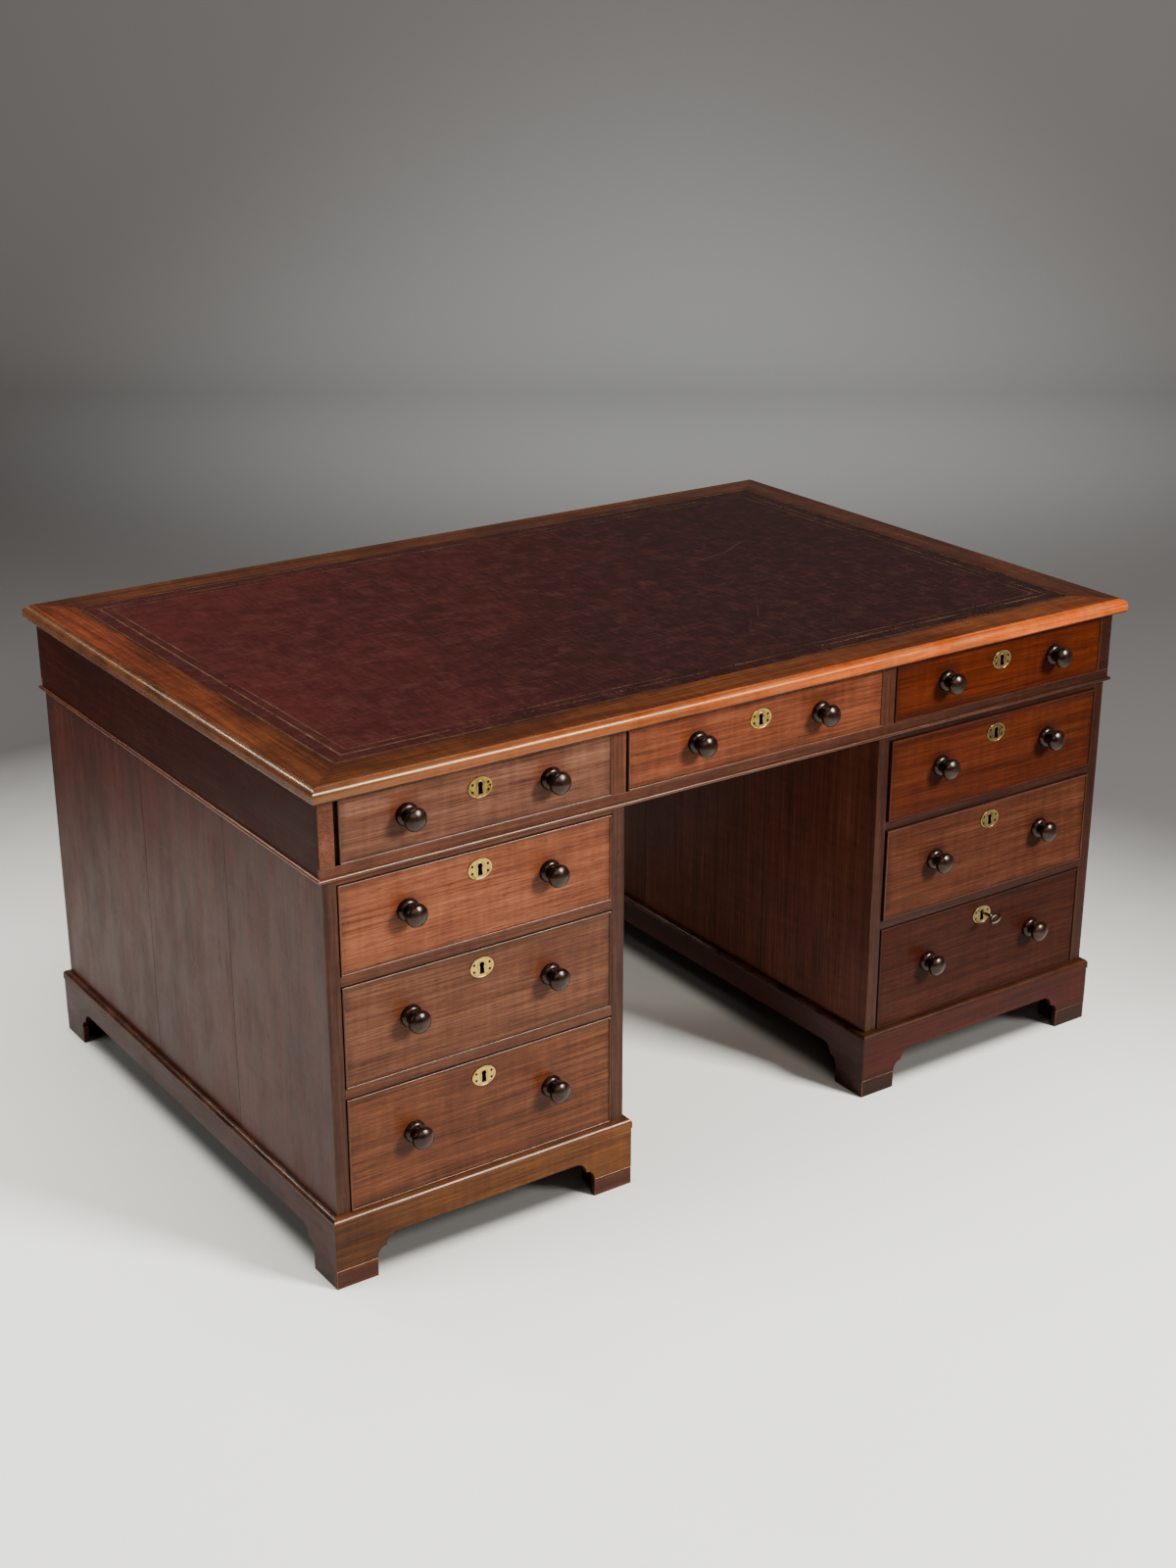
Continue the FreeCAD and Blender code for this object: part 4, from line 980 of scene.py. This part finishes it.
def addPlate(name, node, body, out, count):
    # The plate and its four pins are the node's first five solids, the rest is the lock or the hinge leaves.
    low, high = solidBox(node, 0)
    wood = low.y if out > 0 else high.y
    centre = Vector(((low.x + high.x) / 2, wood, (low.z + high.z) / 2))
    finish = "darkPlateBrass" if name in darkFronts or out > 0 else "plateBrass"
    shade = plate["shade"].get(name, 1.0)
    addPiece(f"{name}_plate", plateMesh(f"{name}_plate", centre, out, finish, shade), body, "brass", node)
    pins = plate["pins"] + plate["morePins"].get(name, [])
    points = [(centre.x + x, centre.y + out * plate["field"], centre.z + z) for x, z in pins]
    values = {"Radius": plate["pinRadius"], "Height": plate["pinHeight"], "Direction": (0.0, float(out), 0.0)}
    addPiece(f"{name}_pins", grownMesh(f"{name}_pins", trees["pin"], points, values), body, "brass", node)
    rest = keepSolids(dressedMesh(node, [board("lockBrass", 0.25)] * count), 5)
    addPiece(f"{name}_fittings", rest, body, "brass", node)


# How dark the painted shade is on the bead sides in the gaps and inside the keyhole.
gapShade = {"bead": 0.85, "keyhole": 0.95, "keyholeInset": 0.010}


def beadGapShade(middle, normal):
    # Painted shade: the flat sides, in the gap round the drawer and against its face, are darkened.
    return gapShade["bead"] if abs(normal.y) < 0.15 else 0.0


def keyholeShade(node):
    # Painted shade: the faces inside the keyhole and lock pocket are darkened to black.
    low, high = solidBox(node, 0)

    def grimeAndShade(middle, normal):
        inward = min(middle.x - low.x, high.x - middle.x, middle.z - low.z, high.z - middle.z)
        return gapShade["keyhole"] if abs(normal.y) < 0.6 and inward > gapShade["keyholeInset"] else 0.0
    return grimeAndShade


def dressDrawer(name):
    out = 1 if name.startswith("rear") else -1
    finish = "darkFrontMahogany" if name in darkFronts else "frontMahogany"
    front = board(finish, 0.4, grain=0, tint=frontTints[name], grimeAndShade=keyholeShade(f"{name}_drawer"))
    bead = board("darkBeadMahogany" if name in darkFronts else "beadMahogany", 0.0, tint=frontTints[name],
                 grimeAndShade=beadGapShade)
    lining = board("liningPine", 0.7)
    dress(f"{name}_drawer", [front] + [lining] * 4 + [bead] * 4)
    dress(f"{name}_knobs", [board("knob", 0.0)] * 2)
    addPlate(name, f"{name}_lock", name, out, 6 if name == "right_bottom" else 7)


for name in frontTints:
    dressDrawer(name)
dress("lock_bolt", [board("lockBrass", 0.3)])
dress("drawer_key", [board("steel", 0.35)])
print("drawers dressed:", len(frontTints))


# Cupboard doors and hinges
hinge = {"leafFace": 0.00015, "screwLift": 0.00002, "screwDepth": 0.0010, "spread": 0.022, "inward": 0.0140,
         "seeds": (21, 22)}
doorTint = {"frame": (1.00, 0.96, 0.94), "panel": (1.12, 1.05, 1.00), "moulding": (0.95, 0.88, 0.85)}


def screwPoints(leafLow, leafHigh, faceX):
    middle = (leafLow.z + leafHigh.z) / 2
    y = joints["left_door_hinge"]["pos_m"][1] - hinge["inward"]
    return [(faceX, y, middle + step * hinge["spread"]) for step in (-1, 0, 1)]


def addScrews(name, node, solidNumbers, body, faceX, way, seed):
    points = []
    for index in solidNumbers:
        low, high = solidBox(node, index)
        points += screwPoints(low, high, faceX)
    values = {"Depth": hinge["screwDepth"], "Direction": (float(way), 0.0, 0.0), "Seed": seed}
    addPiece(name, grownMesh(name, trees["screw"], points, values), body, "brass")


dress("hinge_plates", [board("lockBrass", 0.2)] * 8)
sink = hinge["screwDepth"] / 2 - hinge["screwLift"]
for side, way, fixedLeaves in (("left", -1, (0, 2)), ("right", 1, (4, 6))):
    body = f"{side}_cupboard_door"
    stile = board("caseMahogany", 0.8, tint=doorTint["frame"])
    panel = board("frontMahogany", 0.0, grain=2, tint=doorTint["panel"])
    moulding = board("beadMahogany", 0.0, tint=doorTint["moulding"])
    dress(f"{side}_door", [stile] * 4 + [panel] + [moulding] * 4 + [board("knob", 0.0)])
    addPlate(f"{side}_door", f"{side}_door_fittings", body, 1, 8)
    axis = abs(joints["left_door_hinge"]["pos_m"][0])
    addScrews(f"{side}_case_screws", "hinge_plates", fixedLeaves, "carcase",
              way * (axis + hinge["leafFace"] + sink), -way, hinge["seeds"][0])
    addScrews(f"{side}_door_screws", f"{side}_door_fittings", (6, 7), body,
              way * (axis - hinge["leafFace"] - sink), way, hinge["seeds"][1])
print("doors and hinges dressed")


# Floor, light and camera
stage = {"front": -12.0, "bend": 5.4, "radius": 2.6, "height": 7.0, "halfWidth": 12.0, "steps": 16}


def sweepMesh():
    # A floor that bends up into the backdrop.
    profile = [(stage["front"], 0.0), (stage["bend"], 0.0)]
    for step in range(1, stage["steps"] + 1):
        turn = math.pi / 2 * step / stage["steps"]
        out, up = stage["radius"] * math.sin(turn), stage["radius"] * (1 - math.cos(turn))
        profile.append((stage["bend"] + out, up))
    profile.append((stage["bend"] + stage["radius"], stage["height"]))
    half = stage["halfWidth"]
    spots = [(x, y, z) for y, z in profile for x in (-half, half)]
    faces = [(2 * i, 2 * i + 1, 2 * i + 3, 2 * i + 2) for i in range(len(profile) - 1)]
    mesh = bpy.data.meshes.new("sweep")
    mesh.from_pydata(spots, [], faces)
    turnToCamera = Matrix.Rotation(math.radians(-view["yaw"]), 4, "Z")
    mesh.transform(turnToCamera)
    mesh.shade_smooth()
    return mesh


# Floor colours: pale is a painted pool of key light, washed a painted wash of light, dim and far the painted fall
# of light beyond them, under a painted shadow under the pedestals.
floorLook = {"pale": (0.880, 0.875, 0.790), "dim": (0.118, 0.111, 0.105), "far": (0.240, 0.224, 0.212),
             "washed": (0.500, 0.500, 0.480), "under": (0.050, 0.046, 0.042), "gloss": (0.55, 0.68),
             "pool": (-0.80, -0.60, 0.0), "poolEdge": (2.60, 1.40), "poolRagged": 0.15,
             "wash": (3.30, 4.20, 0.2), "washEdge": (3.1, 0.4),
             "away": (0.566, 0.824, 0.0), "awayEdge": (3.4, 6.4),
             "pedestal": (0.4955, 0.2605, 0.486), "underFade": (0.014, -0.030, 0.0, 0.95)}


def floorFinish():
    # Painted light and shade: bright in a painted pool of key light round the desk, with a painted wash of light
    # on the backdrop, and dim towards and up the backdrop.
    material, tree, shader = newFinish("paleFloor", Specular_IOR_Level=0.2)
    spot = spotOf(tree)
    cloud = noiseOf(spot, (1.3, 1.3, 1.3), 5.0, 0.6)
    poolGap = plus(gapOf(spot, floorLook["pool"]), times(cloud, floorLook["poolRagged"]))
    toward = {0: spot, 1: floorLook["away"]}
    away = feedNode("ShaderNodeVectorMath", toward, operation="DOT_PRODUCT").outputs["Value"]
    share = fadeIn(away, *floorLook["awayEdge"])
    colour = mixColour(share, opaque(floorLook["dim"]), opaque(floorLook["far"]))
    wash = fadeIn(gapOf(spot, floorLook["wash"]), *floorLook["washEdge"])
    colour = mixColour(wash, colour, opaque(floorLook["washed"]))
    colour = mixColour(fadeIn(poolGap, *floorLook["poolEdge"]), colour, opaque(floorLook["pale"]))
    # Painted shadow: under the two pedestals the floor is darkened as their contact shadow.
    centre, halfWidth, halfDepth = floorLook["pedestal"]
    here = parts(spot)
    aside = sizeOf(minus(sizeOf(here[0]), centre))
    beyond = mathOf("MAXIMUM", minus(aside, halfWidth),
                    minus(sizeOf(here[1]), halfDepth))
    hidden = fadeIn(beyond, *floorLook["underFade"])
    colour = mixColour(hidden, colour, opaque(floorLook["under"]))
    connect(shader, colour, fadeIn(cloud, 0.3, 0.7, *floorLook["gloss"]))
    return material


view = {"place": (-2.0378, -2.9952, 1.8813), "yaw": 34.509, "pitch": 21.481, "lens": 52.38, "sensor": 36.0,
        "farClip": 60.0}
# Name, place, aim, size and watts.
lights = [("keyPanel", (2.40, -5.00, 3.64), (0.0, -0.3, 0.45), (1.5, 1.5), 1090.0),
          ("skyPanel", (-0.7, 0.0, 3.2), (-0.2, 0.1, 0.5), (1.4, 1.4), 55.0),
          ("rimPanel", (-1.4, 2.1, 2.3), (-0.5, -0.2, 0.7), (0.35, 0.35), 22.0),
          ("leftPanel", (-3.4, 0.6, 2.3), (-1.2, 0.2, 0.0), (1.8, 1.8), 118.0),
          ("backPanel", (0.0, 1.9, 0.38), (0.0, 0.0, 0.42), (1.6, 0.5), 6.0),
          ("frontPanel", (-1.2, -4.0, 2.4), (-0.4, -0.9, 0.1), (2.4, 1.8), 36.0)]
sky = {"colour": (0.55, 0.56, 0.57), "strength": 0.06}


def addLight(name, place, aim, size, watts):
    lamp = bpy.data.lights.new(name, "AREA")
    lamp.shape = "RECTANGLE"
    lamp.size, lamp.size_y = size
    lamp.energy = watts
    holder = placed(name, lamp)
    holder.location = place
    holder.rotation_euler = (Vector(aim) - Vector(place)).to_track_quat("-Z", "Y").to_euler()
    holder.visible_camera = False


def addCamera():
    lens = bpy.data.cameras.new("deskCamera")
    lens.lens = view["lens"]
    lens.sensor_width = view["sensor"]
    lens.clip_end = view["farClip"]
    camera = placed("deskCamera", lens)
    camera.location = view["place"]
    camera.rotation_euler = (math.radians(90.0 - view["pitch"]), 0.0, math.radians(-view["yaw"]))
    bpy.context.scene.camera = camera


floorMesh = sweepMesh()
floorMesh.materials.append(floorFinish())
placed("paleFloor", floorMesh)
for light in lights:
    addLight(*light)
addCamera()
world = bpy.data.worlds.new("studio")
world.use_nodes = True
world.node_tree.nodes["Background"].inputs[0].default_value = opaque(sky["colour"])
world.node_tree.nodes["Background"].inputs[1].default_value = sky["strength"]
bpy.context.scene.world = world
print("stage, lights and camera set")
